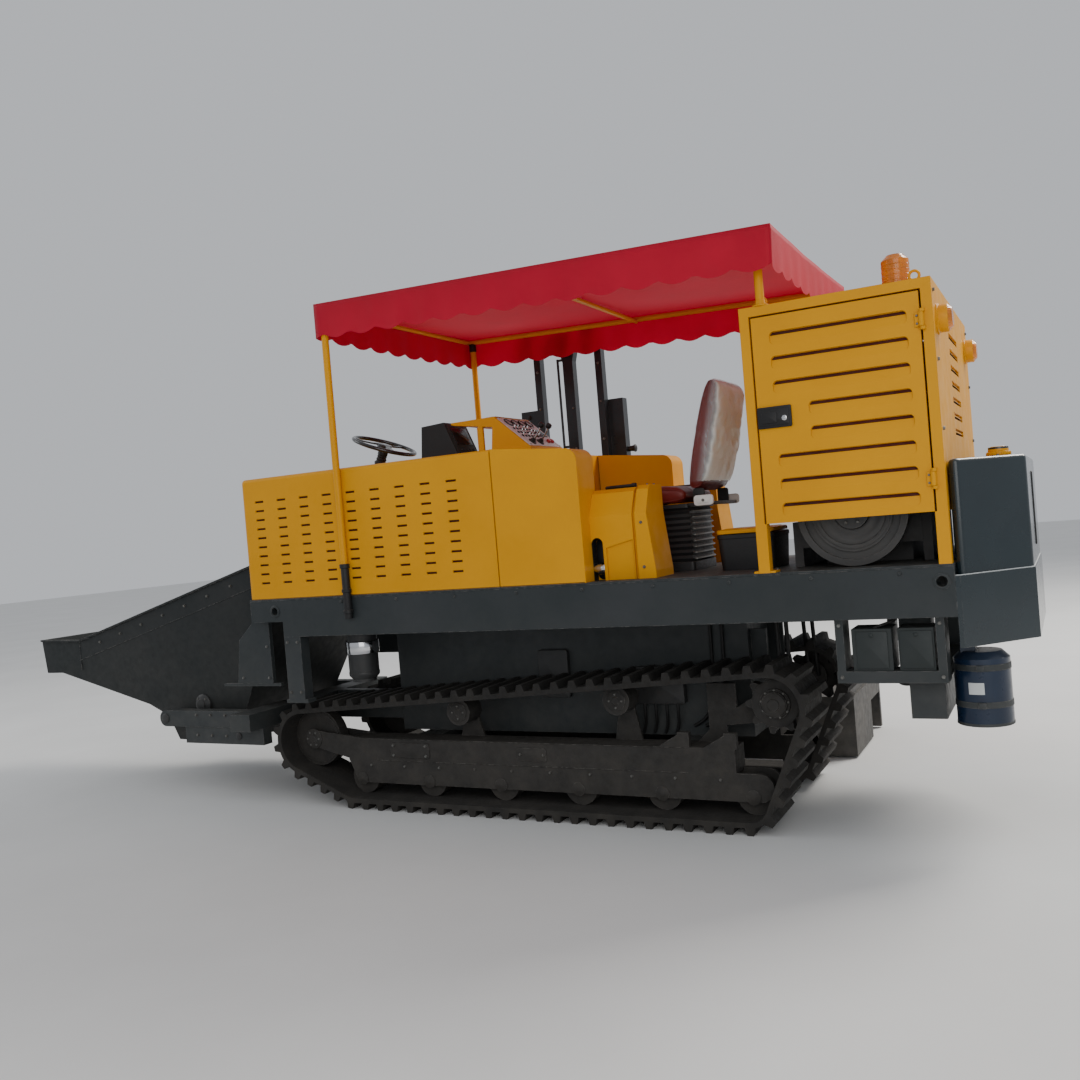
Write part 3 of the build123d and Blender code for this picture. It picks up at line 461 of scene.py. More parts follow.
class Palette:
    """Every finish of the machine, made once."""

    def __init__(self) -> None:
        """Builds the materials."""
        finishes = {
            Slot.YELLOW: Finish("yellow enamel", ENAMEL, ENAMEL_SHADE, 0.42, dust=0.04, specular=0.2, wear=0.20,
                                relief=0.0002, grain=25.0, wear_colour=(0.34, 0.16, 0.03)),
            Slot.FRAME: Finish("slate frame paint", (0.020, 0.026, 0.028), (0.030, 0.035, 0.038), 0.48, dust=0.35,
                               low_dust=0.22, wear=0.40, dust_colour=(0.20, 0.185, 0.16)),
            Slot.BELT: Finish("track rubber", (0.010, 0.010, 0.010), (0.018, 0.017, 0.016), 0.80, dust=0.30,
                              low_dust=0.22, relief=0.0012, grain=90.0, wear=0.3,
                              wear_colour=(0.07, 0.065, 0.06), dust_colour=TRACK_DUST),
            Slot.UNDER: Finish("dusty castings", (0.014, 0.014, 0.014), (0.026, 0.024, 0.022), 0.65, dust=0.45,
                               low_dust=0.25, relief=0.0010, grain=70.0, wear=0.4, dust_colour=TRACK_DUST),
            Slot.HOPPER: Finish("hopper steel", (0.012, 0.016, 0.017), (0.022, 0.024, 0.024), 0.52, dust=0.40,
                                low_dust=0.15, wear=0.55, metallic=0.2, dust_colour=(0.22, 0.20, 0.17)),
            Slot.AUGER: Finish("scoured steel", (0.30, 0.29, 0.27), (0.16, 0.13, 0.11), 0.38, metallic=0.9,
                               dust=0.3),
            Slot.CONSOLE: Finish("grey box paint", (0.018, 0.024, 0.024), (0.026, 0.031, 0.031), 0.48, dust=0.25,
                                 dust_colour=DARK_DUST),
            Slot.BLACK: Finish("black plastic", (0.010, 0.010, 0.011), (0.018, 0.018, 0.019), 0.48, dust=0.22,
                               relief=0.0005, grain=220.0),
            Slot.RIM: Finish("wheel grip", (0.012, 0.012, 0.013), (0.022, 0.022, 0.023), 0.20, dust=0.1, coat=0.5),
            Slot.SEAT: Finish("seat vinyl", (0.150, 0.014, 0.010), (0.100, 0.010, 0.008), 0.42, dust=0.05,
                              relief=0.0006, grain=260.0),
            Slot.ENGINE: Finish("engine castings", (0.040, 0.042, 0.045), (0.060, 0.058, 0.055), 0.50, dust=0.25,
                                wear=0.3, dust_colour=(0.20, 0.18, 0.16)),
            Slot.AMBER: LensFinish("amber lens", (1.0, 0.32, 0.015)),
            Slot.TANK: Finish("blue grey enamel", (0.011, 0.022, 0.028), (0.008, 0.016, 0.021), 0.26, coat=0.6,
                              dust=0.22, relief=0.0003, grain=14.0, wear=0.3, dust_colour=(0.25, 0.25, 0.24)),
            Slot.CANISTER: Finish("blue enamel", (0.006, 0.020, 0.050), (0.004, 0.013, 0.034), 0.32, coat=0.3,
                                  dust=0.2, dust_colour=DARK_DUST),
            Slot.CANOPY: ClothFinish("red canopy cloth", (0.56, 0.005, 0.036), (0.48, 0.004, 0.028)),
            Slot.TUBE: Finish("yellow tube enamel", ENAMEL, ENAMEL_SHADE, 0.40, dust=0.04, specular=0.2),
            Slot.MOULD: Finish("mould steel", (0.026, 0.028, 0.030), (0.050, 0.048, 0.045), 0.50, dust=0.45,
                               low_dust=0.3, wear=0.6, metallic=0.3, dust_colour=(0.30, 0.28, 0.25)),
            Slot.CYLINDER: Finish("cylinder paint", (0.020, 0.022, 0.024), (0.032, 0.033, 0.034), 0.40, dust=0.3,
                                  low_dust=0.2, wear=0.3, dust_colour=(0.18, 0.165, 0.14)),
            Slot.MAST: Finish("satin black mast", (0.008, 0.010, 0.013), (0.014, 0.016, 0.019), 0.34, coat=0.2,
                              dust=0.2, wear=0.35, wear_colour=(0.10, 0.10, 0.10),
                              dust_colour=(0.16, 0.15, 0.14)),
            Look.FILM: FilmFinish(),
            Look.CHROME: Finish("bright plating", (0.62, 0.63, 0.65), (0.52, 0.52, 0.53), 0.16, metallic=1.0,
                                dust=0.2, relief=0.0001),
            Look.BOLTS: Finish("zinc bolts", (0.20, 0.20, 0.19), (0.12, 0.115, 0.105), 0.42, metallic=0.9,
                               dust=0.3, corner=0.001),
            # painted shade: dark red colour of the sheets that stand in for the shade inside openings and recesses
            Look.LINER: Finish("shaded inside", (0.070, 0.010, 0.005), (0.045, 0.008, 0.004), 0.8, dust=0.0,
                               relief=0.0002),
            Look.PLATE: Finish("pale blank plate", (0.60, 0.63, 0.63), (0.52, 0.55, 0.55), 0.45, dust=0.10,
                               grain=120.0, relief=0.0001, corner=0.0008),
            Look.DIAL: Finish("dial face", (0.70, 0.71, 0.70), (0.60, 0.61, 0.60), 0.3, coat=0.8, dust=0.05),
            Look.SCREEN: Finish("dark glass", (0.014, 0.020, 0.024), (0.010, 0.014, 0.018), 0.22, coat=0.3,
                                dust=0.08, relief=0.00005),
            Look.RED: Finish("red knob", (0.45, 0.010, 0.008), (0.34, 0.008, 0.006), 0.3, coat=0.4, dust=0.05),
            Look.HOSE: Finish("hose rubber", (0.010, 0.010, 0.010), (0.018, 0.018, 0.018), 0.55, dust=0.3,
                              grain=180.0, relief=0.0004, dust_colour=DARK_DUST),
            Look.CLEAR: Finish("milky plastic", (0.78, 0.79, 0.78), (0.68, 0.69, 0.68), 0.28, coat=0.5,
                               dust=0.15),
        }
        self.materials = {option: finish.build() for option, finish in finishes.items()}

    def dress_nodes(self, frame: dict) -> None:
        """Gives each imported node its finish.
        """
        slots = {entry["node"]: entry["material_slot"] for entry in frame["record"]["subparts"]}
        for name, node in frame["nodes"].items():
            node.data.materials.clear()
            node.data.materials.append(self.materials[Slot(slots[name])])


class Shape:
    """A mesh in the making, drawn in the machine's millimetres."""

    def __init__(self) -> None:
        """Starts empty."""
        self.mesh = bmesh.new()

    def skin(self, rings: Iterable[Sequence[Sequence[float]]], closed: bool = True) -> Shape:
        """Joins rings that have the same number of points.

        Args:
            rings: Points of each ring.
            closed: Whether the first and last rings get a face.

        Returns:
            This shape.
        """
        made = [[self.mesh.verts.new(at(*point)) for point in ring] for ring in rings]
        for first, second in zip(made, made[1:]):
            for n, corner in enumerate(first):
                after = (n + 1) % len(first)
                self.mesh.faces.new((corner, first[after], second[after], second[n]))
        if closed:
            self.mesh.faces.new(made[0])
            self.mesh.faces.new(made[-1])
        return self

    def spin(self, centre: Point, axis: Point, profile: Iterable[tuple[float, float]], steps: int = 24,
             closed: bool = True) -> Shape:
        """Turns a profile round an axis.

        Args:
            centre: Where the axis starts.
            axis: Its direction.
            profile: Radius and distance along the axis, in order.
            steps: Faces round the axis.
            closed: Whether both ends are capped.

        Returns:
            This shape.
        """
        along = Vector(axis).normalized()
        out = along.orthogonal().normalized()
        turns = [2.0 * math.pi * n / steps for n in range(steps)]
        spokes = [out * math.cos(turn) + along.cross(out) * math.sin(turn) for turn in turns]
        return self.skin(([Vector(centre) + along * reach + spoke * radius for spoke in spokes]
                          for radius, reach in profile), closed)

    def torus(self, centre: Point, axis: Point, radius: float, thick: float, steps: int = 48,
              sides: int = 12) -> Shape:
        """Ring of round section.

        Args:
            centre: Its middle.
            axis: Its axis.
            radius: Radius of the middle line.
            thick: Radius of the section.
            steps: Faces round the ring.
            sides: Faces round the section.

        Returns:
            This shape.
        """
        turns = [2.0 * math.pi * n / sides for n in range(sides + 1)]
        profile = [(radius + thick * math.cos(turn), thick * math.sin(turn)) for turn in turns]
        return self.spin(centre, axis, profile, steps, closed=False)

    def panel(self, centre: Point, right: Point, up: Point, size: tuple[float, float], thick: float,
              radius: float = 3.0, rim: float = 1.0, taper: float = 1.0) -> Shape:
        """Plate with rounded corners and an eased rim, standing on its back face.

        Args:
            centre: Middle of the back face.
            right: Direction of its width.
            up: Direction of its height; it is thick along right × up.
            size: Width and height.
            thick: Thickness.
            radius: Radius of the corners.
            rim: Width of the eased edge.
            taper: Size of the back face against the front one.

        Returns:
            This shape.
        """
        u, v = Vector(right).normalized(), Vector(up).normalized()
        w = u.cross(v)
        rings = []
        steps = ((0.0, 0.0, taper), (0.0, thick - rim, 1.0), (rim * 0.3, thick - rim * 0.3, 1.0),
                 (rim, thick, 1.0))
        for inset, reach, scale in steps:
            a, b = size[0] / 2 - inset, size[1] / 2 - inset
            r = max(0.2, min(radius - inset, a, b))
            ring = []
            for n in range(20):
                corner, share = divmod(n, 5)
                angle = math.pi / 2 * (corner + share / 4.0)
                sx, sy = ((1, 1), (-1, 1), (-1, -1), (1, -1))[corner]
                x, y = sx * (a - r) + r * math.cos(angle), sy * (b - r) + r * math.sin(angle)
                ring.append(Vector(centre) + u * x * scale + v * y * scale + w * reach)
            rings.append(ring)
        return self.skin(rings)

    def bolts(self, places: Iterable[Point], axis: Point, across: float = 18.0) -> Shape:
        """Hexagon bolts on their washers.

        Args:
            places: Where each stands.
            axis: Direction in which they point.
            across: Width of the head.

        Returns:
            This shape.
        """
        half = across / 2.0
        for place in places:
            self.spin(place, axis, ((half * 1.25, -0.5), (half * 1.25, 1.6), (half * 1.1, 2.0)), 16)
            head = ((half * 1.12, 1.6), (half * 1.12, across * 0.5), (half * 0.95, across * 0.6),
                    (half * 0.5, across * 0.6))
            self.spin(place, axis, head, 6)
        return self

    def run(self, points: Sequence[Point], radius: float) -> Shape:
        """Fixed pipe or hose along a smooth line.

        Args:
            points: Control points of the line.
            radius: Radius of the pipe.

        Returns:
            This shape.
        """
        curve = bpy.data.curves.new("run", "CURVE")
        curve.dimensions = "3D"
        line = curve.splines.new("NURBS")
        line.points.add(len(points) - 1)
        for knot, point in zip(line.points, points):
            knot.co = (*at(*point), 1.0)
        line.order_u = 3
        line.use_endpoint_u = True
        line.resolution_u = 8
        curve.bevel_depth = radius / 1000.0
        curve.bevel_resolution = 3
        curve.use_fill_caps = True
        holder = bpy.data.objects.new("run", curve)
        made = bpy.data.meshes.new_from_object(holder)
        self.mesh.from_mesh(made)
        bpy.data.objects.remove(holder)
        bpy.data.curves.remove(curve)
        bpy.data.meshes.remove(made)
        return self

    def weld(self, start: Point, end: Point, radius: float = 4.0) -> Shape:
        """Bead of weld along a straight seam.

        Args:
            start: One end.
            end: The other end.
            radius: Size of the bead.

        Returns:
            This shape.
        """
        way = Vector(end) - Vector(start)
        steps = max(4, int(way.length / 9.0))
        profile = [(radius * (0.75 + 0.25 * (n % 2)), way.length * n / steps) for n in range(steps + 1)]
        return self.spin(start, way, profile, 6)


@dataclass
class Maker:
    """Turns shapes into named pieces on their bodies."""

    palette: Palette
    count: int = 0

    def finish(self, mesh: bmesh.types.BMesh | Shape, name: str, slot: Slot, body: Body = Body.CHASSIS,
               look: Look | None = None, angle: float = 40.0) -> bpy.types.Object:
        """Makes the piece.

        Args:
            mesh: The shape.
            name: Piece name.
            slot: Material slot of the record.
            body: Body it rides on.
            look: Finish other than the slot's own.
            angle: Degrees under which an edge is shaded smooth.

        Returns:
            The new object.
        """
        shape = mesh.mesh if isinstance(mesh, Shape) else mesh
        data = bpy.data.meshes.new(name)
        bmesh.ops.recalc_face_normals(shape, faces=shape.faces)
        shape.to_mesh(data)
        shape.free()
        piece = bpy.data.objects.new(name, data)
        bpy.context.scene.collection.objects.link(piece)
        data.materials.append(self.palette.materials[look or slot])
        for face in data.polygons:
            face.use_smooth = True
        data.set_sharp_from_angle(angle=math.radians(angle))
        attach(piece, body.value)
        self.count += 1
        LOG.info("%s: %d faces on %s", name, len(data.polygons), body.value)
        return piece


def smooth_levels(piece: bpy.types.Object, levels: int) -> None:
    """Adds and applies subdivision.

    Args:
        piece: A mesh.
        levels: Subdivision levels.
    """
    modifier = piece.modifiers.new("subdivision", "SUBSURF")
    modifier.levels = modifier.render_levels = levels
    apply_modifiers(piece)


def apply_modifiers(piece: bpy.types.Object) -> None:
    """Makes a piece's modifiers permanent."""
    graph = bpy.context.evaluated_depsgraph_get()
    made = bpy.data.meshes.new_from_object(piece.evaluated_get(graph))
    old = piece.data
    piece.modifiers.clear()
    piece.data = made
    bpy.data.meshes.remove(old)


AHEAD, BACK, LEFT, RIGHT, UP = (1, 0, 0), (-1, 0, 0), (0, 1, 0), (0, -1, 0), (0, 0, 1)
HANDS = ((1, LEFT), (-1, RIGHT))


def facing(hand: int) -> tuple[Point, Point]:
    """Width and height directions of a plate that faces outward on one hand."""
    return (-hand, 0, 0), UP


def inclined(low: Vector, high: Vector) -> tuple[Vector, Vector]:
    """Direction up a sloping face that runs from low to high, and the direction out of it."""
    slope = (high - low).normalized()
    return slope, Vector((-slope.z, 0.0, slope.x))


def circle(centre: Point, radius: float, count: int, phase: float = 0.0) -> list[Point]:
    """Points round a circle that faces sideways."""
    turns = [2 * math.pi * n / count + phase for n in range(count)]
    return [(centre[0] + radius * math.cos(t), centre[1], centre[2] + radius * math.sin(t)) for t in turns]


@dataclass
class SubAssembly:
    """Part of the machine whose pieces are made together."""

    maker: Maker

    def keep(self, slot: Slot, look: Look | None = None, body: Body = Body.CHASSIS, **shapes: Shape) -> None:
        """Finishes shapes as pieces, in the order given.

        Args:
            slot: Material slot of the record.
            look: Finish other than the slot's own.
            body: Body that they ride on.
            **shapes: Each piece's shape under its name.
        """
        for name, shape in shapes.items():
            self.maker.finish(shape, name, slot, body, look)


@dataclass
class Canopy(SubAssembly):
    """Red cloth roof: a sagging sheet on a tube frame, whose hem hangs in scallops on all four sides."""

    rear: float = -236.0
    front: float = 2222.0
    half: float = 796.0
    rear_top: float = 2694.0
    front_top: float = 2779.0
    drop: float = 165.0
    scallop: float = 26.0
    scallop_length: float = 172.0
    sag: float = 34.0
    along: int = 96
    across: int = 60
    down: int = 8
    rail_offset: float = 768.0
    rail_radius: float = 15.0
    rail_depth: float = 22.0
    bar_half: float = 764.0
    bar_radius: float = 13.0
    joint_depth: float = 58.0

    def line(self, x: float) -> float:
        """Height of the stretched edge at a station."""
        return self.rear_top + (x - self.rear) / (self.front - self.rear) * (self.front_top - self.rear_top)

    def top(self, u: float, v: float) -> Vector:
        """Point of the roof.

        Args:
            u: From 0 at the rear to 1 at the front.
            v: From 0 on the right to 1 on the left.

        Returns:
            The point in metres.
        """
        x = self.rear + u * (self.front - self.rear)
        y = -self.half + 2 * self.half * v
        bays = abs(math.sin(2 * math.pi * u)) ** 0.8
        across = math.sin(math.pi * v)
        ripple = 5.0 * noise.noise(Vector((x / 420.0, y / 300.0, 1.7)))
        return at(x, y, self.line(x) - self.sag * bays * across - 10.0 * across + ripple * across)

    def roof(self, mesh: bmesh.types.BMesh) -> list[bmesh.types.BMVert]:
        """Makes the stretched top.

        Args:
            mesh: The sheet in the making.

        Returns:
            The corners round the top's edge.
        """
        grid = [[mesh.verts.new(self.top(i / self.along, j / self.across)) for j in range(self.across + 1)]
                for i in range(self.along + 1)]
        for i in range(self.along):
            for j in range(self.across):
                mesh.faces.new((grid[i][j], grid[i + 1][j], grid[i + 1][j + 1], grid[i][j + 1]))
        left = [row[-1] for row in grid]
        right = [row[0] for row in reversed(grid)]
        return left + grid[-1][-2::-1] + right[1:] + grid[0][1:-1]

    def hem(self, mesh: bmesh.types.BMesh, ring: list[bmesh.types.BMVert]) -> None:
        """Hangs the scalloped hem from the edge of the top.

        Args:
            mesh: The sheet in the making.
            ring: The corners round the top's edge.
        """
        travelled, lengths = 0.0, []
        for first, second in zip(ring, ring[1:] + ring[:1]):
            lengths.append(travelled)
            travelled += (second.co - first.co).length * 1000.0
        scallops = round(travelled / self.scallop_length)
        middle = at((self.rear + self.front) / 2, 0, 0)
        previous = ring
        for row in range(1, self.down + 1):
            share = row / self.down
            layer = []
            for corner, length in zip(ring, lengths):
                phase = length / travelled * scallops
                hang = self.drop + self.scallop * abs(math.sin(math.pi * phase))
                out = Vector((corner.co.x - middle.x, corner.co.y - middle.y, 0.0))
                sway = 5.0 * share * noise.noise(Vector((length / 130.0, 4.0, 0.3)))
                wave = 4.0 * share * math.sin(2 * math.pi * phase)
                move = out.normalized() * (min(0.0, sway + wave - 5.0 * share) / 1000.0)
                layer.append(mesh.verts.new(corner.co + move - Vector((0, 0, share * hang / 1000.0))))
            for index in range(len(ring)):
                after = (index + 1) % len(ring)
                mesh.faces.new((previous[index], previous[after], layer[after], layer[index]))
            previous = layer

    def build(self) -> None:
        """Makes the sheet and the tubes under it."""
        mesh = bmesh.new()
        self.hem(mesh, self.roof(mesh))
        cloth = self.maker.finish(mesh, "canopy_cloth", Slot.CANOPY, angle=180.0)
        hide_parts("canopy")
        self.tubes()

    def tubes(self) -> None:
        """Makes the frame that the cloth is stretched over."""
        frame, joints = Shape(), Shape()
        ends = [(x, self.line(end) - self.rail_depth)
                for x, end in ((self.rear + 14, self.rear), (self.front - 14, self.front))]
        for hand, _ in HANDS:
            frame.run([(x, hand * self.rail_offset, z) for x, z in ends], self.rail_radius)
            for x, post, bolt in ((-150.0, 745.0, 722.0), (2182.0, 769.0, 746.0)):
                z = self.line(x) - self.joint_depth
                joints.spin((x, hand * post, z), UP, ((21, -26), (23, -24), (23, 22), (19, 26)))
                joints.bolts([(x, hand * bolt, z)], AHEAD, 10)
        for x, depth in ((-222.0, 22.0), (1005.0, 34.0), (2208.0, 22.0)):
            z = self.line(x) - depth
            frame.run([(x, -self.bar_half, z), (x, self.bar_half, z)], self.bar_radius)
        self.keep(Slot.TUBE, canopy_frame_tubes=frame)
        self.keep(Slot.BLACK, canopy_frame_joints=joints)


@dataclass
class Seat(SubAssembly):
    """Operator's seat: padded cushion and back in red-brown vinyl, still in its wrapping film."""

    middle: float = 70.0
    half: float = 235.0
    swelling: float = 0.008
    pressure: float = 4.0
    cloth_frames: int = 12
    voxel: float = 0.014
    channels: tuple[float, float] = (-82.0, 82.0)
    film_width: float = 0.62
    film_foot: float = 1.66
    folds: int = 19
    fold: float = 15.0

    def swell(self, pad: bpy.types.Object) -> None:
        """Inflates a closed pad as cloth and keeps each point near where it started."""
        smooth_levels(pad, 2)
        remesh = pad.modifiers.new("remesh", "REMESH")
        remesh.mode = "VOXEL"
        remesh.voxel_size = self.voxel
        apply_modifiers(pad)
        start = [corner.co.copy() for corner in pad.data.vertices]
        cloth = pad.modifiers.new("cloth", "CLOTH").settings
        cloth.use_pressure = True
        cloth.uniform_pressure_force = self.pressure
        cloth.effector_weights.gravity = 0.0
        for step in range(self.cloth_frames):
            bpy.context.scene.frame_set(step + 1)
        apply_modifiers(pad)
        bpy.context.scene.frame_set(1)
        floor = min(corner.z for corner in start) + 0.004
        for corner, origin in zip(pad.data.vertices, start):
            move = corner.co - origin
            if origin.z < floor:
                move.z = 0.0
            if move.length > self.swelling:
                move *= self.swelling / move.length
            corner.co = origin + move
        smooth_levels(pad, 1)

    def groove(self, pad: bpy.types.Object, facing_way: Point) -> None:
        """Presses the sewn channels into the side of a pad that faces one way.

        Args:
            pad: The swollen pad.
            facing_way: Direction of the padded face.
        """
        way = Vector(facing_way).normalized()
        for corner in pad.data.vertices:
            share = max(0.0, corner.normal.dot(way) - 0.3) / 0.7
            offset = corner.co.y * 1000.0 - DATUM_Y - self.middle
            depth = sum(math.exp(-((offset - line) / 6.0) ** 2) for line in self.channels)
            corner.co -= corner.normal * (0.0055 * min(1.0, depth) * share)

    def pad(self, name: str, outline: Sequence[tuple[float, float]], node: str) -> bpy.types.Object:
        """Sews a pad from its side outline.

        Args:
            name: Piece name.
            outline: Stations and heights round the pad.
            node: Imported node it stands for.

        Returns:
            The pad.
        """
        rows = ((-1.0, 0.93), (-0.96, 0.985), (-0.5, 1.0), (0.0, 1.0), (0.5, 1.0), (0.96, 0.985), (1.0, 0.93))
        cx = sum(x for x, _ in outline) / len(outline)
        cz = sum(z for _, z in outline) / len(outline)
        rings = [[(cx + (x - cx) * scale, self.middle + share * (self.half - 5.0), cz + (z - cz) * scale)
                  for x, z in outline] for share, scale in rows]
        pad = self.maker.finish(Shape().skin(rings), name, Slot.SEAT, angle=180.0)
        self.swell(pad)
        for face in pad.data.polygons:
            face.use_smooth = True
        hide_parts(node)
        return pad

    def piping(self, pad: bpy.types.Object, outline: Sequence[tuple[float, float]]) -> None:
        """Sews piping round both sides of a pad, on its surface.

        Args:
            pad: The finished pad.
            outline: Stations and heights round the pad.
        """
        cord = Shape()
        for hand, _ in HANDS:
            side = self.middle + hand * (self.half - 7.0)
            points = []
            for (x1, z1), (x2, z2) in zip(outline, [*outline[1:], outline[0]]):
                for share in (0.0, 0.25, 0.5, 0.75):
                    aim = at(x1 + share * (x2 - x1), side, z1 + share * (z2 - z1))
                    _, spot, normal, _ = pad.closest_point_on_mesh(aim)
                    spot = (spot + normal * 0.001) * 1000.0
                    points.append((spot.x - DATUM_X, spot.y - DATUM_Y, spot.z))
            cord.run([*points, points[0]], 3.4)
        self.maker.finish(cord, pad.name.replace("_pad", "_piping"), Slot.SEAT)

    def film(self, back: bpy.types.Object) -> None:
        """Drapes the loose wrapping film over the back."""
        shape = bmesh.new()
        shape.from_mesh(back.data)
        doomed = [face for face in shape.faces if face.calc_center_median().z < self.film_foot]
        bmesh.ops.delete(shape, geom=doomed, context="FACES")
        shape.normal_update()
        for corner in shape.verts:
            spot = corner.co * 1000.0
            crumple = noise.noise(spot / 34.0) + 0.5 * noise.noise(spot / 15.0)
            rear = max(0.0, -corner.normal.x)
            slack = max(0.0, math.sin(math.pi * (spot.z - 1640.0) / 540.0))
            loose = 4.5 + 2.2 * crumple + rear * slack * (16.0 + 14.0 * noise.noise(spot / 70.0))
            corner.co += corner.normal * (0.001 * loose)
        film = self.maker.finish(shape, "seat_back_film", Slot.SEAT, look=Look.FILM, angle=180.0)

    def bellows(self) -> None:
        """Makes the folded bellows under the cushion, and the light ribs on its rear, which are painted
        highlights.
        """
        ribs, rings = Shape(), []
        for n in range(self.folds):
            lift, grow = self.fold * n, (3.0 if n % 2 else -3.0)
            if n % 2:
                ribs.panel((406.5, self.middle, 1256 + lift), AHEAD, LEFT, (22, 300), 8, 4, 3)
            near, far, wide = 413 - grow, 733 + grow, 170 + grow
            corners = ((near, -wide), (far, -wide), (far, wide), (near, wide))
            rings.append([(x, self.middle + aside, 1262 + lift) for x, aside in corners])
        bellows = self.maker.finish(Shape().skin(rings), "seat_bellows", Slot.BLACK)
        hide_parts("seat_base")
        # painted highlight: light strips on every other fold stand in for light catching the folds
        self.keep(Slot.BLACK, Look.BOLTS, seat_bellows_ribs=ribs)

    def base(self) -> None:
        """Makes the pan, the side brackets, the slide and the knob."""
        y = self.middle
        plates = Shape().panel((573, y, 1215.5), AHEAD, LEFT, (340, 360), 46, 20, 4)
        plates.panel((573, y, 1532), AHEAD, LEFT, (344, 400), 21, 24, 5)
        plates.panel((344, y, 1538), AHEAD, LEFT, (130, 424), 16, 12, 3)
        bracket, bolts = Shape(), Shape()
        for hand, way in HANDS:
            side = y + hand * 214.0
            plates.panel((347, y + hand * 192.0, 1582), *facing(hand), (58, 82), 12, 12, 3)
            bracket.panel((318, side, 1562), *facing(hand), (100, 52), 15, 16, 5)
            bracket.panel((318, side + hand * 15, 1562), *facing(hand), (66, 28), 3, 10, 1.5)
            bolts.bolts([(318, side + hand * 18, 1562)], way, 12)
        knob = Shape().spin((690, y + 225, 1560), LEFT, ((12, 0), (24, 2), (26, 8), (26, 20), (20, 26), (4, 27)))
        self.keep(Slot.BLACK, seat_plates=plates)
        self.keep(Slot.SEAT, Look.CLEAR, seat_side_brackets=bracket)
        self.keep(Slot.BLACK, Look.BOLTS, seat_bolts=bolts)
        self.keep(Slot.BLACK, seat_knob=knob)

    def build(self) -> None:
        """Makes the whole seat."""
        cushion = ((406, 1558), (405, 1600), (412, 1630), (560, 1645), (700, 1650), (729, 1634), (730, 1600),
                   (724, 1558))
        back = ((310, 1606), (258, 1850), (200, 2100), (208, 2148), (232, 2166), (262, 2156), (318, 1990),
                (366, 1800), (393, 1645), (392, 1608))
        seat = self.pad("seat_cushion_pad", cushion, "seat_cushion")
        self.groove(seat, (0.05, 0, 1))
        rest = self.pad("seat_back_pad", back, "seat_back")
        self.groove(rest, (1, 0, 0.25))
        self.piping(seat, cushion)
        self.piping(rest, back)
        self.film(rest)
        self.bellows()
        self.base()


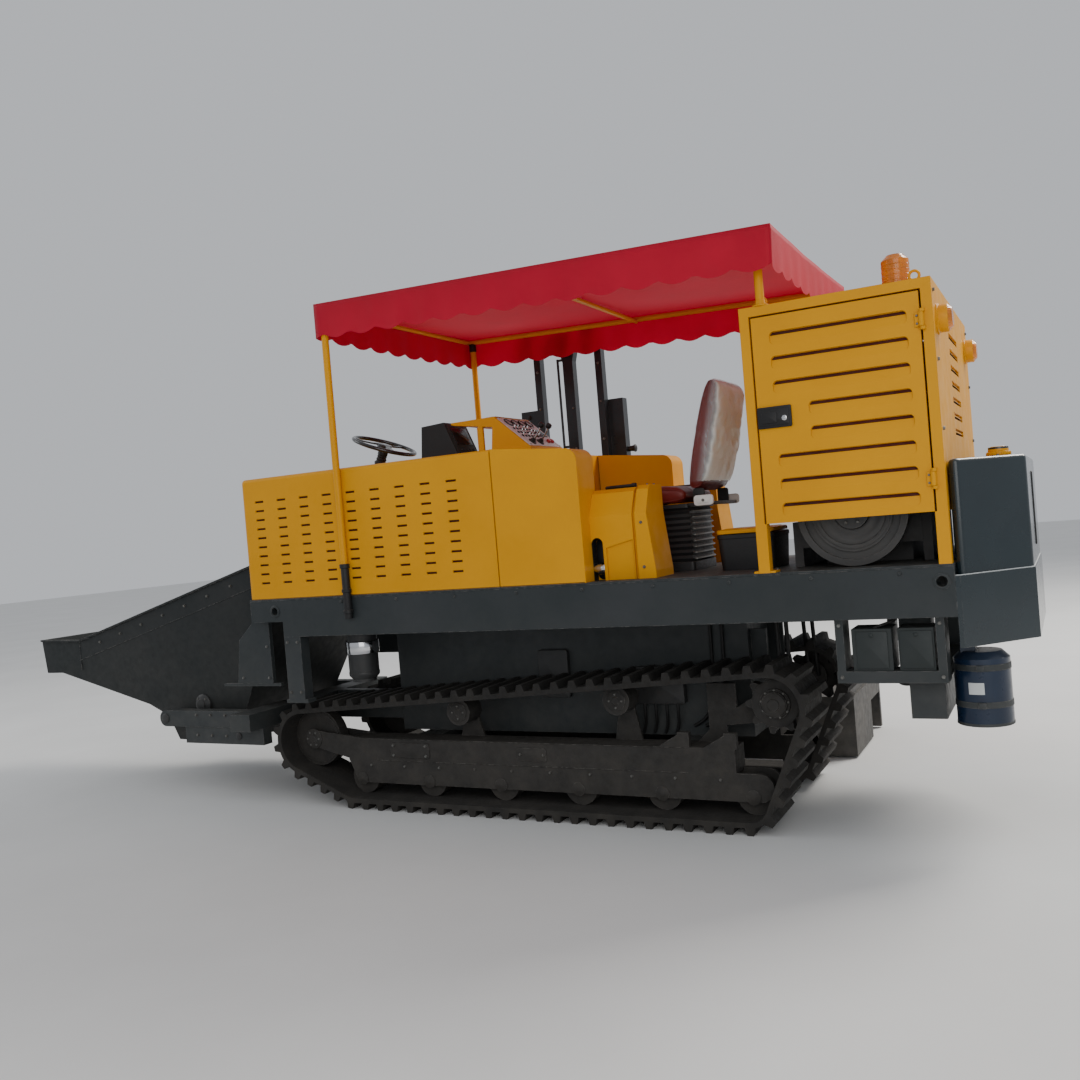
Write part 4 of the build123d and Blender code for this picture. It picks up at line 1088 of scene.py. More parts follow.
@dataclass
class Housing(SubAssembly):
    """Power housing: painted shade in the louvre openings, latches, rear grilles, drum, engine dressing and lamps.
    """

    louvre_top: float = 2248.0
    louvre_pitch: float = 105.0
    short_louvres: tuple[int, int] = (3, 4)
    latch_height: float = 1883.0
    rear_face: float = -843.6
    front_face: float = -57.6
    corner_offset: float = 700.0
    drum_x: float = -444.0
    drum_z: float = 1450.0
    block_offset: float = 419.6
    beacon_x: float = -676.0
    beacon_y: float = 450.0

    def build(self) -> None:
        """Makes every group."""
        for (hand, way), word, body in zip(HANDS, ("left", "right"), (Body.LEFT_DOOR, Body.RIGHT_DOOR)):
            self.door(hand, way, word, body)
        self.shell()
        self.drum()
        self.engine()
        self.lights()

    def door(self, hand: int, way: Point, word: str, body: Body) -> None:
        """Dresses one louvred door.

        Args:
            hand: 1 on the left.
            way: Direction in which it faces.
            word: Name of the side.
            body: Body of the door.
        """
        # painted shade: a dark strip at the top of each louvre stands in for the shade in its opening
        gaps = Shape()
        for n in range(8):
            top = self.louvre_top - self.louvre_pitch * n
            front = -328.0 if n in self.short_louvres else -183.0
            gaps.skin([[(x, hand * (736.0 + 14.0 * below / 55.0 + proud), top - below)
                        for below, proud in ((high, 0.7), (16.0, 0.7), (16.0, -1.0), (high, -1.0))]
                       for x, high in ((-740, 11), (-732, 3), (front - 12, 3), (front - 4, 11))])
        latch = Shape().panel((-181, hand * 750.4, self.latch_height), *facing(hand), (146, 92), 9.5, 6, 2)
        latch.panel((-181, hand * 759.5, self.latch_height), *facing(hand), (126, 70), 2.5, 5, 1)
        latch.panel((-160, hand * 761.5, self.latch_height), *facing(hand), (64, 50), 4, 5, 1.5)
        lock = Shape().spin((-224, hand * 761, 1875), way, ((11.5, 0), (11.5, 2.5), (10, 3.5), (4, 3.6)))
        lock.spin((-224, hand * 764.5, 1875), way, ((2.5, 0), (2.5, 0.6)), 4)
        screws = Shape().bolts([(-783, hand * 757.5, z + step) for z in (1560.0, 2200.0) for step in (-16, 16)],
                               way, 8)
        for shape, piece, look in ((gaps, "louvre_gaps", Look.LINER), (latch, "latch", None),
                                   (lock, "lock", Look.CHROME), (screws, "screws", Look.BOLTS)):
            self.maker.finish(shape, f"door_{word}_{piece}", Slot.BLACK, body, look)

    def shell(self) -> None:
        """Painted shade inside the rear grille, leg feet, lifting eyes and seams of the housing."""
        # painted shade: a dark panel behind each vane stands in for the shade inside the grille
        inside, vanes = Shape(), Shape()
        for n in range(7):
            z = 1755.0 + 72.0 * n
            inside.panel((-831.7, 0, z + 14), RIGHT, UP, (356, 26), 0.5, 2, 0.1)
            vanes.skin([[(-832, y, z + 27), (-843.4, y, z + 12), (-843.4, y, z + 10.5), (-832, y, z + 25.5)]
                        for y in (-178, 178)])
        feet, bolts, eyes = Shape(), Shape(), Shape()
        for hand, _ in HANDS:
            for x, length, steps in ((-819.0, 48, (0,)), (-83.0, 96, (-36, 36))):
                y = hand * 706.0
                feet.panel((x, y, 1214.8), AHEAD, LEFT, (length, 84), 9, 4, 1)
                bolts.bolts([(x + step, y - hand * 28, 1223) for step in steps], UP, 14)
            for x in (-770.0, -130.0):
                eyes.spin((x, hand * 620.0, 2366.8), UP, ((26, 0), (26, 5), (14, 8), (12, 16)))
                eyes.torus((x, hand * 620.0, 2404), LEFT, 20, 6, 28, 10)
            corner = hand * self.corner_offset
            bolts.bolts([(self.rear_face, corner, z) for z in (1760, 2040, 2320)], BACK, 14)
            bolts.bolts([(self.front_face, corner, z) for z in (1500, 1900, 2300)], AHEAD, 14)
        front = Shape().panel((-57.8, 0, 1900), LEFT, UP, (1180, 700), 3, 20, 1.5)
        self.keep(Slot.BLACK, Look.LINER, rear_grille_inside=inside)
        self.keep(Slot.YELLOW, rear_grille_vanes=vanes, housing_feet=feet)
        self.keep(Slot.YELLOW, Look.BOLTS, housing_bolts=bolts)
        self.keep(Slot.YELLOW, housing_lifting_eyes=eyes, front_bulkhead_panels=front)

    def drum(self) -> None:
        """Ring of bolts, hub cap and grooves of the drum."""
        x, z = self.drum_x, self.drum_z
        bolts = Shape().bolts(circle((x, 627.6, z), 50, 6), LEFT, 12)
        outer = ((219, -1), (219, 8), (213, 11), (207, 8), (207, -1))
        groove = ((160, -1), (160, 2), (156, 3.5), (146, 3.5), (142, 2), (142, -1))
        inner = ((141, 0), (141, 7), (136, 10), (118, 10), (112, 7), (96, 7), (90, 10), (78, 10), (74, 7), (74, 0))
        rings = Shape()
        for y, profile in ((604, outer), (616, groove), (612, inner)):
            rings.spin((x, y, z), LEFT, profile, 72)
        rings.spin((x, 627.5, z), LEFT, ((30, 0), (30, 6), (24, 10), (4, 11)), 32)
        self.keep(Slot.ENGINE, Look.BOLTS, drum_bolts=bolts)
        self.keep(Slot.ENGINE, drum_rings=rings)

    def engine(self) -> None:
        """Covers, filters and pipes on the engine, seen with a door open or under its lower edge."""
        metal, fixings, pipes = Shape(), Shape(), Shape()
        for hand, way in HANDS:
            side, skin = facing(hand), hand * self.block_offset
            near, far = skin + hand * 12, skin + hand * 14
            metal.panel((-560, skin, 1840), *side, (230, 150), 26, 18, 6)
            metal.panel((-300, skin, 1840), *side, (210, 150), 26, 18, 6)
            corners = [(x, skin + hand * 26, z) for x in (-655, -465, -385, -215) for z in (1780, 1900)]
            fixings.bolts(corners, way, 14)
            if hand < 0:
                metal.spin((-560, skin, 1600), way, ((48, 0), (52, 4), (52, 110), (44, 124), (8, 128)), 32)
                metal.spin((-420, skin, 1600), way, ((40, 0), (44, 4), (44, 90), (36, 102), (8, 105)), 32)
                metal.panel((-280, skin, 1560), *side, (130, 260), 60, 16, 8)
            pipes.run([(-670, near, 1720), (-560, far, 1712), (-380, far, 1716), (-200, near, 1700)], 11)
            pipes.run([(-670, near, 1500), (-664, skin + hand * 13, 1600), (-672, near, 1700)], 9)
        self.keep(Slot.ENGINE, engine_covers=metal)
        self.keep(Slot.ENGINE, Look.BOLTS, engine_bolts=fixings)
        self.keep(Slot.BLACK, Look.HOSE, engine_pipes=pipes)

    def lights(self) -> None:
        """Beacon base and lamp rims."""
        base = Shape().spin((self.beacon_x, self.beacon_y, 2366.5), UP,
                            ((69, 0), (69, 14), (66.8, 19), (60, 22), (59.4, 24), (59.4, 46), (58.2, 47)), 48)
        ribs, rims = Shape(), Shape()
        for n in range(5):
            ribs.torus((self.beacon_x, self.beacon_y, 2405.0 + 22.0 * n), UP, 57.6, 1.6, 48, 8)
        for hand, _ in HANDS:
            rims.spin((-843.5, hand * 600.0, 2215), BACK,
                      ((64, 0), (64, 6), (58, 9), (58, 42), (56.5, 45), (54.5, 45)), 48)
        self.keep(Slot.AMBER, Look.CLEAR, beacon_base=base)
        self.keep(Slot.AMBER, beacon_ribs=ribs)
        self.keep(Slot.TUBE, lamp_rims=rims)


@dataclass
class Hoods(SubAssembly):
    """Painted shade in the slots and arches, post sleeves, arch pipes and the operator's controls."""

    slot_columns: int = 9
    slot_rows: int = 10
    slot_x: float = 1482.0
    slot_z: float = 1308.0
    post_x: float = 2182.0
    post_offset: float = 770.5
    arch_x: float = 746.0
    arch_radius: float = 29.3
    arch_spring: float = 1391.0
    controls: float = 70.0
    lever_offsets: tuple[int, int] = (20, 110)
    wheel_tilt: float = 22.0
    wheel_radius: float = 187.0
    hinge_stations: tuple[float, float] = (20.0, 156.0)

    def build(self) -> None:
        """Makes every group."""
        self.slots()
        self.sleeves()
        self.cowls()
        self.console()
        self.gauges()
        self.wheel()
        self.box()

    def slots(self) -> None:
        """Painted shade inside the hood's slots, with the folded lip over each."""
        inside, lips, seams, grille = Shape(), Shape(), Shape(), Shape()
        for hand, _ in HANDS:
            # painted shade: a dark panel in each slot stands in for the shade inside it
            for i in range(self.slot_columns):
                for j in range(self.slot_rows):
                    x, z = self.slot_x + 160.0 * i, self.slot_z + 51.0 * j
                    inside.panel((x, hand * 741.8, z), *facing(hand), (61.4, 11.6), 0.9, 2, 0.2)
                    lips.panel((x, hand * 743.0, z + 5.2), *facing(hand), (60, 1.6), 6.4, 0.7, 0.5)
            section = ((749.4, 1219), (750.4, 1219), (750.4, 1216), (749.4, 1216))
            seams.skin([[(x, hand * y, z) for y, z in section] for x in (780, 2886)])
        # painted shade: dark strips stand in for the shade in the front grille's openings
        for n in range(12):
            grille.panel((2890.8, 0, 1340.0 + 38.0 * n), LEFT, UP, (980, 15), 1.2, 6, 0.5)
        self.keep(Slot.BLACK, Look.LINER, hood_slot_insides=inside)
        self.keep(Slot.YELLOW, hood_slot_lips=lips)
        self.keep(Slot.BLACK, Look.HOSE, hood_foot_seal=seams)
        self.keep(Slot.BLACK, Look.LINER, hood_front_grille=grille)

    def sleeves(self) -> None:
        """Black sleeves and clamps at the foot of the front posts, flanges under the rear ones."""
        sleeves, bolts, flanges = Shape(), Shape(), Shape()
        for hand, _ in HANDS:
            x, y = self.post_x, hand * self.post_offset
            sleeves.spin((x, y, 1091), UP, ((21.2, 0), (21.6, 2), (21.6, 284), (20.4, 290), (19.3, 290)), 32)
            for z, tall in ((1362.0, 24.0), (1232.0, 20.0), (1120.0, 20.0)):
                sleeves.spin((x, y, z), UP, ((22, 0), (26.5, 1.5), (26.5, tall - 1.5), (22, tall)), 32)
                sleeves.panel((x, y - hand * 22, z + tall / 2), *facing(-hand), (26, tall), 2, 3, 0.5)
                bolts.bolts([(2207, y, z + tall / 2)], AHEAD, 10)
            flanges.spin((-150, hand * 722.0, 2366.6), UP, ((36, 0), (36, 6), (22, 8), (20.5, 26), (19.2, 27)), 32)
        self.keep(Slot.BLACK, post_sleeves=sleeves)
        self.keep(Slot.BLACK, Look.BOLTS, post_clamp_bolts=bolts)
        self.keep(Slot.TUBE, rear_post_flanges=flanges)

    def cowls(self) -> None:
        """Plated pipe in each arch with painted shade behind it, hose on the cowl, the seam bolts and the mat
        between the cowls.
        """
        pipes, hoses, bolts, liner = Shape(), Shape(), Shape(), Shape()
        radius, spring = self.arch_radius, self.arch_spring
        turns = [math.pi * n / 10 for n in range(1, 10)]
        arch = [(716.7, 1215.6), (716.7, spring),
                *((self.arch_x - radius * math.cos(turn), spring + radius * math.sin(turn)) for turn in turns),
                (775.3, spring), (775.3, 1215.6)]
        for hand, way in HANDS:
            pipes.spin((717, hand * 625.0, 1272), AHEAD,
                       ((26.4, 0), (27, 1), (27, 16), (29.5, 17), (29.5, 40), (27, 41), (27, 57), (26.4, 58)), 36)
            hoses.run([(752, hand * 470.0, 1660), (716, hand * 492.0, 1661), (660, hand * 500.0, 1660),
                       (604, hand * 498.0, 1661)], 9)
            hoses.spin((604, hand * 498.0, 1661), BACK, ((9.5, -2), (12, 0), (12, 20), (6, 22)), 16)
            bolts.bolts([(510, hand * y, 1655.6) for y in (452.0, 540.0)], UP, 12)
            bolts.bolts([(510, hand * 660.8, z) for z in (1270, 1480)], way, 12)
            # painted shade: a black sheet in the arch stands in for the shade inside it
            liner.skin([[(x, hand * y, z) for x, z in arch] for y in (652.0, 600.8)], closed=False)
            liner.panel((746, hand * 600.2, 1318), *facing(hand), (58, 202), 0.9, 28, 0.2)
        mat = Shape().panel((1010, 0, 1214.6), AHEAD, LEFT, (440, 820), 4, 10, 1)
        for n in range(16):
            mat.panel((1010, -375.0 + 50.0 * n, 1218), AHEAD, LEFT, (410, 14), 2.4, 4, 1)
        self.keep(Slot.BLACK, arch_liners=liner)
        self.keep(Slot.CYLINDER, Look.CHROME, arch_pipes=pipes)
        self.keep(Slot.BLACK, Look.HOSE, cowl_hoses=hoses)
        self.keep(Slot.YELLOW, Look.BOLTS, cowl_bolts=bolts)
        self.keep(Slot.BLACK, floor_mat=mat)

    def console(self) -> None:
        """Instrument plate on the slope: blank dials, toggles, knobs and two levers."""
        low, high = Vector((1262, self.controls, 1930)), Vector((1476, self.controls, 2118))
        slope, out = inclined(low, high)

        def spot(share: float, aside: float, proud: float = 0.0) -> Vector:
            """Point at a share of the slope's length, aside from its middle and proud of it."""
            return low + slope * (share * (high - low).length) + Vector((0, aside, 0)) + out * proud

        plate = Shape().panel(spot(0.5, 0, 0.2), RIGHT, slope, (376, 258), 3, 8, 1)
        frames, dials, glass, knobs, bolts = Shape(), Shape(), Shape(), Shape(), Shape()
        needle = (slope + Vector((0, 0.9, 0))).normalized()
        for aside in (-120.0, -40.0, 40.0, 120.0):
            frames.spin(spot(0.80, aside, 3), out, ((31, 0), (31, 5), (28, 7), (26, 5.5)), 32, closed=False)
            dials.spin(spot(0.80, aside, 3), out, ((27, 0), (27, 2.5)), 32)
            frames.panel(spot(0.80, aside, 5.6), slope.cross(out), needle, (2.2, 34), 0.8, 0.6, 0.2)
        glass.panel(spot(0.50, -118, 3), RIGHT, slope, (92, 62), 3, 4, 1)
        frames.panel(spot(0.50, -118, 2.6), RIGHT, slope, (102, 72), 2, 6, 0.8)
        for row in range(3):
            for column in range(6):
                place = spot(0.60 - 0.12 * row, -42.0 + 36.0 * column, 3)
                frames.spin(place, out, ((9, 0), (9, 3), (6, 4), (5, 6)), 12)
                lean = out + slope * (0.35 if (row + column) % 3 else -0.35)
                bolts.spin(place, lean, ((2.6, 4), (3.4, 22), (2.0, 24)), 8)
        for aside in (-132.0, -92.0):
            knobs.spin(spot(0.20, aside, 3), out, ((12, 0), (14, 3), (14, 12), (11, 15), (3, 15.5)), 24)
        for aside in self.lever_offsets:
            gaiter = ((24, 0), (24, 4), (15, 8), (17, 12), (11, 16), (12, 20), (6, 24))
            frames.spin(spot(0.17, aside, 3), out, gaiter, 24)
        for aside in self.lever_offsets:
            bolts.run([spot(0.17, aside, 24), spot(0.16, aside, 60), spot(0.20, aside, 92)], 5)
            frames.spin(spot(0.20, aside, 90), out, ((8, 0), (15, 6), (17, 16), (14, 27), (5, 31)), 20)
        bolts.bolts([spot(share, aside, 3) for share in (0.07, 0.93) for aside in (-176.0, 176.0)], out, 8)
        cap = Shape().panel((1500, self.controls, 2117.6), AHEAD, LEFT, (60, 380), 2.2, 6, 1)
        self.keep(Slot.CONSOLE, Look.PLATE, console_plate=plate)
        self.keep(Slot.BLACK, console_rings=frames)
        self.keep(Slot.CONSOLE, Look.DIAL, console_dials=dials)
        self.keep(Slot.BLACK, Look.SCREEN, console_screen=glass)
        self.keep(Slot.BLACK, Look.RED, console_knobs=knobs)
        self.keep(Slot.CONSOLE, Look.CHROME, console_toggles=bolts)
        self.keep(Slot.CONSOLE, Look.CLEAR, console_cap=cap)

    def gauges(self) -> None:
        """Grey face of the gauge box, with its screen and buttons."""
        low, high = Vector((1706, 152, 1900)), Vector((1802, 152, 2124))
        slope, out = inclined(low, high)
        middle = (low + high) / 2
        face = Shape().panel(middle + out * 0.2, RIGHT, slope, (212, 224), 3, 10, 1)
        glass = Shape().panel(middle + slope * 34 + out * 3, RIGHT, slope, (170, 110), 3, 6, 1)
        keys = Shape()
        for n in range(5):
            key = middle - slope * 52 + Vector((0, -68 + 34 * n, 0)) + out * 3
            keys.panel(key, RIGHT, slope, (24, 18), 4, 4, 1)
        keys.panel((1876, 152, 2118.5), (148, 0, -9), LEFT, (120, 200), 3, 10, 1)
        self.keep(Slot.CONSOLE, gauge_face=face)
        self.keep(Slot.BLACK, Look.SCREEN, gauge_screen=glass)
        self.keep(Slot.BLACK, gauge_keys=keys)

    def wheel(self) -> None:
        """Steering wheel: round rim, dished spokes and a capped hub."""
        tilt = math.radians(self.wheel_tilt)
        hub, axis = Vector((2360, self.controls, 2060)), Vector((-math.sin(tilt), 0.0, math.cos(tilt)))
        ahead = Vector((math.cos(tilt), 0.0, math.sin(tilt)))
        rim = Shape().torus(hub, axis, self.wheel_radius, 12.0, 72, 16)
        for n in range(3):
            turn = 2 * math.pi * (n + 0.25) / 3
            way = ahead * math.cos(turn) + Vector((0, 1, 0)) * math.sin(turn)
            aside = axis.cross(way)
            rings = []
            for reach, wide, thick, lift in ((34, 17, 6, 4), (80, 13, 4.5, -1), (140, 11, 4, -3), (182, 15, 6, 0)):
                middle = hub + way * reach + axis * lift
                rings.append([middle + aside * wide + axis * thick, middle - aside * wide + axis * thick,
                              middle - aside * wide - axis * thick, middle + aside * wide - axis * thick])
            rim.skin(rings)
        rim.spin(hub, axis, ((26, -12.5), (44, -11), (45, 4), (40, 10), (20, 12.8), (4, 12.9)), 40)
        piece = self.maker.finish(rim, "steering_wheel_rim", Slot.RIM, Body.WHEEL)
        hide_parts("steering_wheel")
        cap = Shape().spin(hub + axis * 12.4, axis, ((18, 0), (18, 0.6), (15, 1.0), (3, 1.1)), 32)
        self.keep(Slot.RIM, Look.CHROME, Body.WHEEL, steering_wheel_cap=cap)
        pleats = ((27, 0), (30, 4), (30, 40), (26, 44), (30, 50), (26, 58), (32, 66), (28, 76), (38, 90),
                  (34, 104))
        self.keep(Slot.BLACK, steering_boot=Shape().spin(hub - axis * 16, -axis, pleats, 32))

    def box(self) -> None:
        """Battery box: tapered black tub with ribs, and its rounded yellow lid."""
        tub = Shape().panel((88, 270, 1215.2), AHEAD, LEFT, (282, 306), 171, 34, 3, taper=0.93)
        ear = ((102, 1362), (140, 1362), (140, 1386), (118, 1398), (102, 1396))
        for x in self.hinge_stations:
            for lug in (x - 11, x + 41):
                tub.skin([[(side, y, z) for y, z in ear] for side in (lug + 0.5, lug + 9.5)])
            tub.spin((x - 10.5, 110, 1391), AHEAD, ((5, 0), (5, 61)), 16)
        tub.panel((88, 270, 1366), AHEAD, LEFT, (286, 310), 19, 36, 4)
        piece = self.maker.finish(tub, "battery_tub", Slot.BLACK)
        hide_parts("battery_box")
        lid = Shape().panel((92, 272, 1389.5), AHEAD, LEFT, (282, 310), 20, 40, 9)
        lid.panel((88, 272, 1405), AHEAD, LEFT, (236, 250), 7.5, 30, 6)
        for x in self.hinge_stations:
            for profile in (((5.6, 0), (9, 0), (9, 39), (5.6, 39)), ((5.6, 0), (5.6, 39))):
                lid.spin((x + 0.5, 110, 1391), AHEAD, profile, 20, closed=False)
            lid.panel((x + 20, 118, 1397), AHEAD, LEFT, (38, 18), 3.4, 2, 0.8)
        piece = self.maker.finish(lid, "battery_lid_shell", Slot.YELLOW, Body.LID)
        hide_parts("battery_lid")


@dataclass
class Undercarriage(SubAssembly):
    """Caps, bolts, clamps and hoses on the tracks and the frame."""

    track_face: float = 489.8
    idler_x: float = 2735.0
    idler_z: float = 370.0
    sprocket_z: float = 586.0
    side_plate: float = 575.0
    cylinder_offset: float = 520.0
    beam_face: float = 749.8
    service_face: float = 719.8
    canister_x: float = -907.0
    canister_y: float = 540.0
    label_radius: float = 110.9

    def build(self) -> None:
        """Makes every group."""
        self.wheels()
        self.frames()
        self.beams()
        self.lines()
        self.front()
        self.rear()
        self.canister()

    def wheels(self) -> None:
        """Caps of the rollers, idlers, carriers and the drive hubs."""
        caps, bolts, discs = Shape(), Shape(), Shape()
        x, z, hub = self.idler_x, self.idler_z, self.sprocket_z
        for hand, way in HANDS:
            face = hand * self.track_face
            for n in range(6):
                roller = ((36, 0), (36, 3), (30, 6), (16, 7), (12, 10), (3, 10.5))
                caps.spin((125.0 + 455.0 * n, face, 150), way, roller, 24)
            caps.spin((x, face, z), way, ((58, 0), (58, 4), (46, 8), (24, 9), (20, 15), (4, 16)), 40)
            bolts.bolts(circle((x, hand * 496.0, z), 40, 6), way, 11)
            discs.spin((x, hand * 450.5, z), way, ((150, 0), (150, 3), (138, 5), (120, 2), (60, 2)), 64)
            for across, high in ((790.0, 602.3), (1723.0, 535.4)):
                carrier = ((52, 0), (52, 3), (44, 6), (22, 6), (18, 10), (3, 10.5))
                caps.spin((across, face, high), way, carrier, 32)
                bolts.bolts(circle((across, hand * 495.0, high), 34, 4), way, 9)
            caps.spin((0, hand * 476.8, hub), way, ((56, 0), (56, 6), (48, 9), (30, 9), (26, 14), (4, 15)), 40)
            bolts.bolts(circle((0, hand * 459.0, hub), 65, 9, 0.2), way, 9)
            discs.spin((0, hand * 445.2, hub), way, ((112, 0), (112, 4), (104, 6), (74, 4)), 64)
        self.keep(Slot.UNDER, wheel_caps=caps, wheel_discs=discs)
        self.keep(Slot.UNDER, Look.BOLTS, wheel_bolts=bolts)

    def frames(self) -> None:
        """Track frames: beads, tensioner covers and bolts."""
        beads, covers, bolts = Shape(), Shape(), Shape()
        for hand, way in HANDS:
            face = hand * self.track_face
            for z in (257.0, 378.0):
                beads.weld((440, hand * 490.0, z), (2290, hand * 490.0, z), 3.2)
            covers.panel((2060, face, 318), *facing(hand), (260, 84), 6, 14, 2)
            covers.panel((1290, face, 318), *facing(hand), (170, 70), 4, 10, 1.5)
            corners = [(2060 + dx, hand * 495.6, 318 + dz) for dx in (-108, 108) for dz in (-28, 28)]
            bolts.bolts(corners, way, 13)
            bolts.bolts([(1290 + dx, hand * 493.6, 318) for dx in (-68, 68)], way, 12)
            bolts.bolts([(x, face, 228) for x in range(280, 2400, 228)], way, 12)
        self.keep(Slot.UNDER, track_frame_welds=beads, track_frame_covers=covers)
        self.keep(Slot.UNDER, Look.BOLTS, track_frame_bolts=bolts)

    def beams(self) -> None:
        """Main frame: bushed eyes, flange bolts, weld beads and a blank plate."""
        eyes, bolts, beads = Shape(), Shape(), Shape()
        for hand, way in HANDS:
            y = hand * self.beam_face
            for x in (-800.0, 2715.0):
                bush = ((21.6, 0), (34, 0), (34, 3), (31, 5), (23, 5), (21.6, 3))
                eyes.spin((x, y, 1145), way, bush, 40, closed=False)
            bolts.bolts([(x, y, 1184) for x in range(-640, 2600, 360)], way, 14)
            beads.weld((-846, hand * 750.2, 1206), (2890, hand * 750.2, 1206), 2.6)
            beads.weld((-300, hand * 749.6, 1001.5), (2600, hand * 749.6, 1001.5), 2.2)
        plate = Shape().panel((-130, -750.1, 1110), *facing(-1), (120, 70), 1.4, 6, 0.5)
        self.keep(Slot.FRAME, beam_eyes=eyes, beam_bolts=bolts, beam_welds=beads)
        self.keep(Slot.FRAME, Look.PLATE, blank_plate=plate)

    def lines(self) -> None:
        """Hydraulic lines clipped along the beams, the belly and down to the drive hubs."""
        hoses, clips, blocks = Shape(), Shape(), Shape()
        for hand, way in HANDS:
            inner = hand * 229.0
            for n in range(3):
                y = hand * (665.0 - 22.0 * n)
                hoses.run([(x, y, 1034.0) for x in (-300, 300, 1200, 2240)], 8.5)
            for x in range(-200, 2200, 400):
                clips.panel((x, hand * 679.8, 1034), *facing(-hand), (26, 30), 74, 6, 2)
            for n in range(2):
                x, step, ram = -30.0 + 46.0 * n, 60 * n, CYLINDER_X - 24 + 48 * n
                hoses.run([(x, hand * 262.0, 1204), (x, hand * 262.0, 1000), (x - 6, hand * 270.0, 780),
                           (x - 4, hand * 300.0, 640), (x, hand * 338.0, 590)], 11)
                hoses.run([(300 + step, inner, 1040), (300 + step, inner, 700), (320 + step, inner, 470),
                           (420 + step, inner, 430)], 9)
                hoses.run([(ram, hand * 425.0, 1040), (ram, hand * 424.0, 900),
                           (CYLINDER_X - 20 + 40 * n, hand * 434.0, 800)], 8)
            blocks.panel((640, hand * 219.8, 640), *facing(hand), (260, 190), 48, 10, 4)
            blocks.panel((1250, hand * 219.8, 700), *facing(hand), (180, 260), 30, 16, 4)
            for n in range(4):
                x = 550.0 + 60.0 * n
                blocks.spin((x, hand * 267.0, 690), way, ((20, 0), (20, 26), (14, 30), (6, 31)), 20)
                hoses.run([(x, hand * 260.0, 560), (x, hand * 262.0, 500), (x + 10.0, hand * 236.0, 430),
                           (x + 30.0, hand * 230.0, 390)], 8)
        self.keep(Slot.BLACK, Look.HOSE, frame_hoses=hoses)
        self.keep(Slot.BLACK, hose_clips=clips)
        self.keep(Slot.CYLINDER, valve_blocks=blocks)

    def front(self) -> None:
        """Plated rings, panel fixings, subframe pins and the front crossmember."""
        rings, bolts, pins, beads = Shape(), Shape(), Shape(), Shape()
        for hand, way in HANDS:
            ram, side = hand * self.cylinder_offset, hand * self.side_plate
            rings.spin((CYLINDER_X, ram, 872), UP, ((92.4, 2), (93.2, 4), (93.2, 68), (92.4, 70)), 56)
            pins.spin((CYLINDER_X, ram, 760), UP,
                      ((60, -46), (66, -44), (66, -30), (84.5, -10), (86, 0), (86, 10), (84.4, 12)), 48)
            pins.spin((3846, side, 491), way, ((30, -0.5), (30, 5), (24, 9), (12, 9), (3, 10)), 32)
            pins.spin((3240, side, 391), way, ((22, -0.5), (22, 5), (17, 8), (3, 9)), 32)
            gusset = ((2862, 1120), (2862, 760), (3060, 760), (2862, 940))
            bolts.bolts([(x, hand * 680.0, z) for x, z in gusset], way, 13)
            bolts.bolts([(x, side, z) for x in (3340, 3460, 3580) for z in (391, 516)], way, 14)
            bolts.bolts([(x, hand * self.beam_face, z) for x in (2572, 2642) for z in (690, 970)], way, 14)
            beads.weld((3200, hand * 575.4, 441), (3682, hand * 575.4, 441), 3)
            beads.weld((2836, hand * 680.2, 729), (3105, hand * 680.2, 729), 2.6)
        self.keep(Slot.CYLINDER, Look.CHROME, cylinder_rings=rings)
        self.keep(Slot.CYLINDER, front_pins=pins)
        self.keep(Slot.FRAME, Look.BOLTS, front_bolts=bolts)
        self.keep(Slot.FRAME, front_welds=beads)

    def rear(self) -> None:
        """Lids of the service boxes, and the underframe's bolts and hoses."""
        lids, bolts, hoses = Shape(), Shape(), Shape()
        for hand, way in HANDS:
            for x in (-503.0, -679.5):
                lids.panel((x, hand * self.service_face, 868), *facing(hand), (128, 156), 5, 5, 1.5)
                lids.spin((x, hand * 724.6, 930), way, ((8, 0), (8, 4), (5, 6)), 16)
            bolts.bolts([(x, hand * 730.0, z) for x in (-776, -374) for z in (755, 975)], way, 13)
            hoses.run([(-600, hand * 640.0, 1010), (-604, hand * 660.0, 990), (-560, hand * 680.0, 972),
                       (-510, hand * 690.0, 958)], 7)
            hoses.run([(-640, hand * 560.0, 704), (-600, hand * 552.0, 690), (-560, hand * 556.0, 720),
                       (-556, hand * 575.0, 778)], 9)
        self.keep(Slot.CONSOLE, service_box_lids=lids)
        self.keep(Slot.FRAME, Look.BOLTS, underframe_bolts=bolts)
        self.keep(Slot.BLACK, Look.HOSE, underframe_hoses=hoses)

    def canister(self) -> None:
        """Straps, foot ring and blank label of the canister."""
        bands, x, y = Shape(), self.canister_x, self.canister_y
        for z in (610.0, 762.0):
            bands.spin((x, y, z), UP, ((110.2, 0), (112.4, 1.5), (112.4, 24.5), (110.2, 26)), 64)
            bands.panel((x, 651.5, z + 13), *facing(1), (30, 24), 10, 3, 1.5)
        bands.spin((x, y, 534.5), UP, ((104, -0.2), (111.5, 1), (111.5, 10), (110.2, 12)), 64)
        turns = [math.radians(64.0 + 4.0 * n) for n in range(9)]
        wall = [(x + self.label_radius * math.cos(t), y + self.label_radius * math.sin(t)) for t in turns]
        patch = Shape().skin([[(u, v, 668), (u, v, 716), (u, v - 0.6, 716), (u, v - 0.6, 668)] for u, v in wall])
        self.keep(Slot.FRAME, canister_bands=bands)
        self.keep(Slot.CANISTER, Look.PLATE, canister_blank_label=patch)


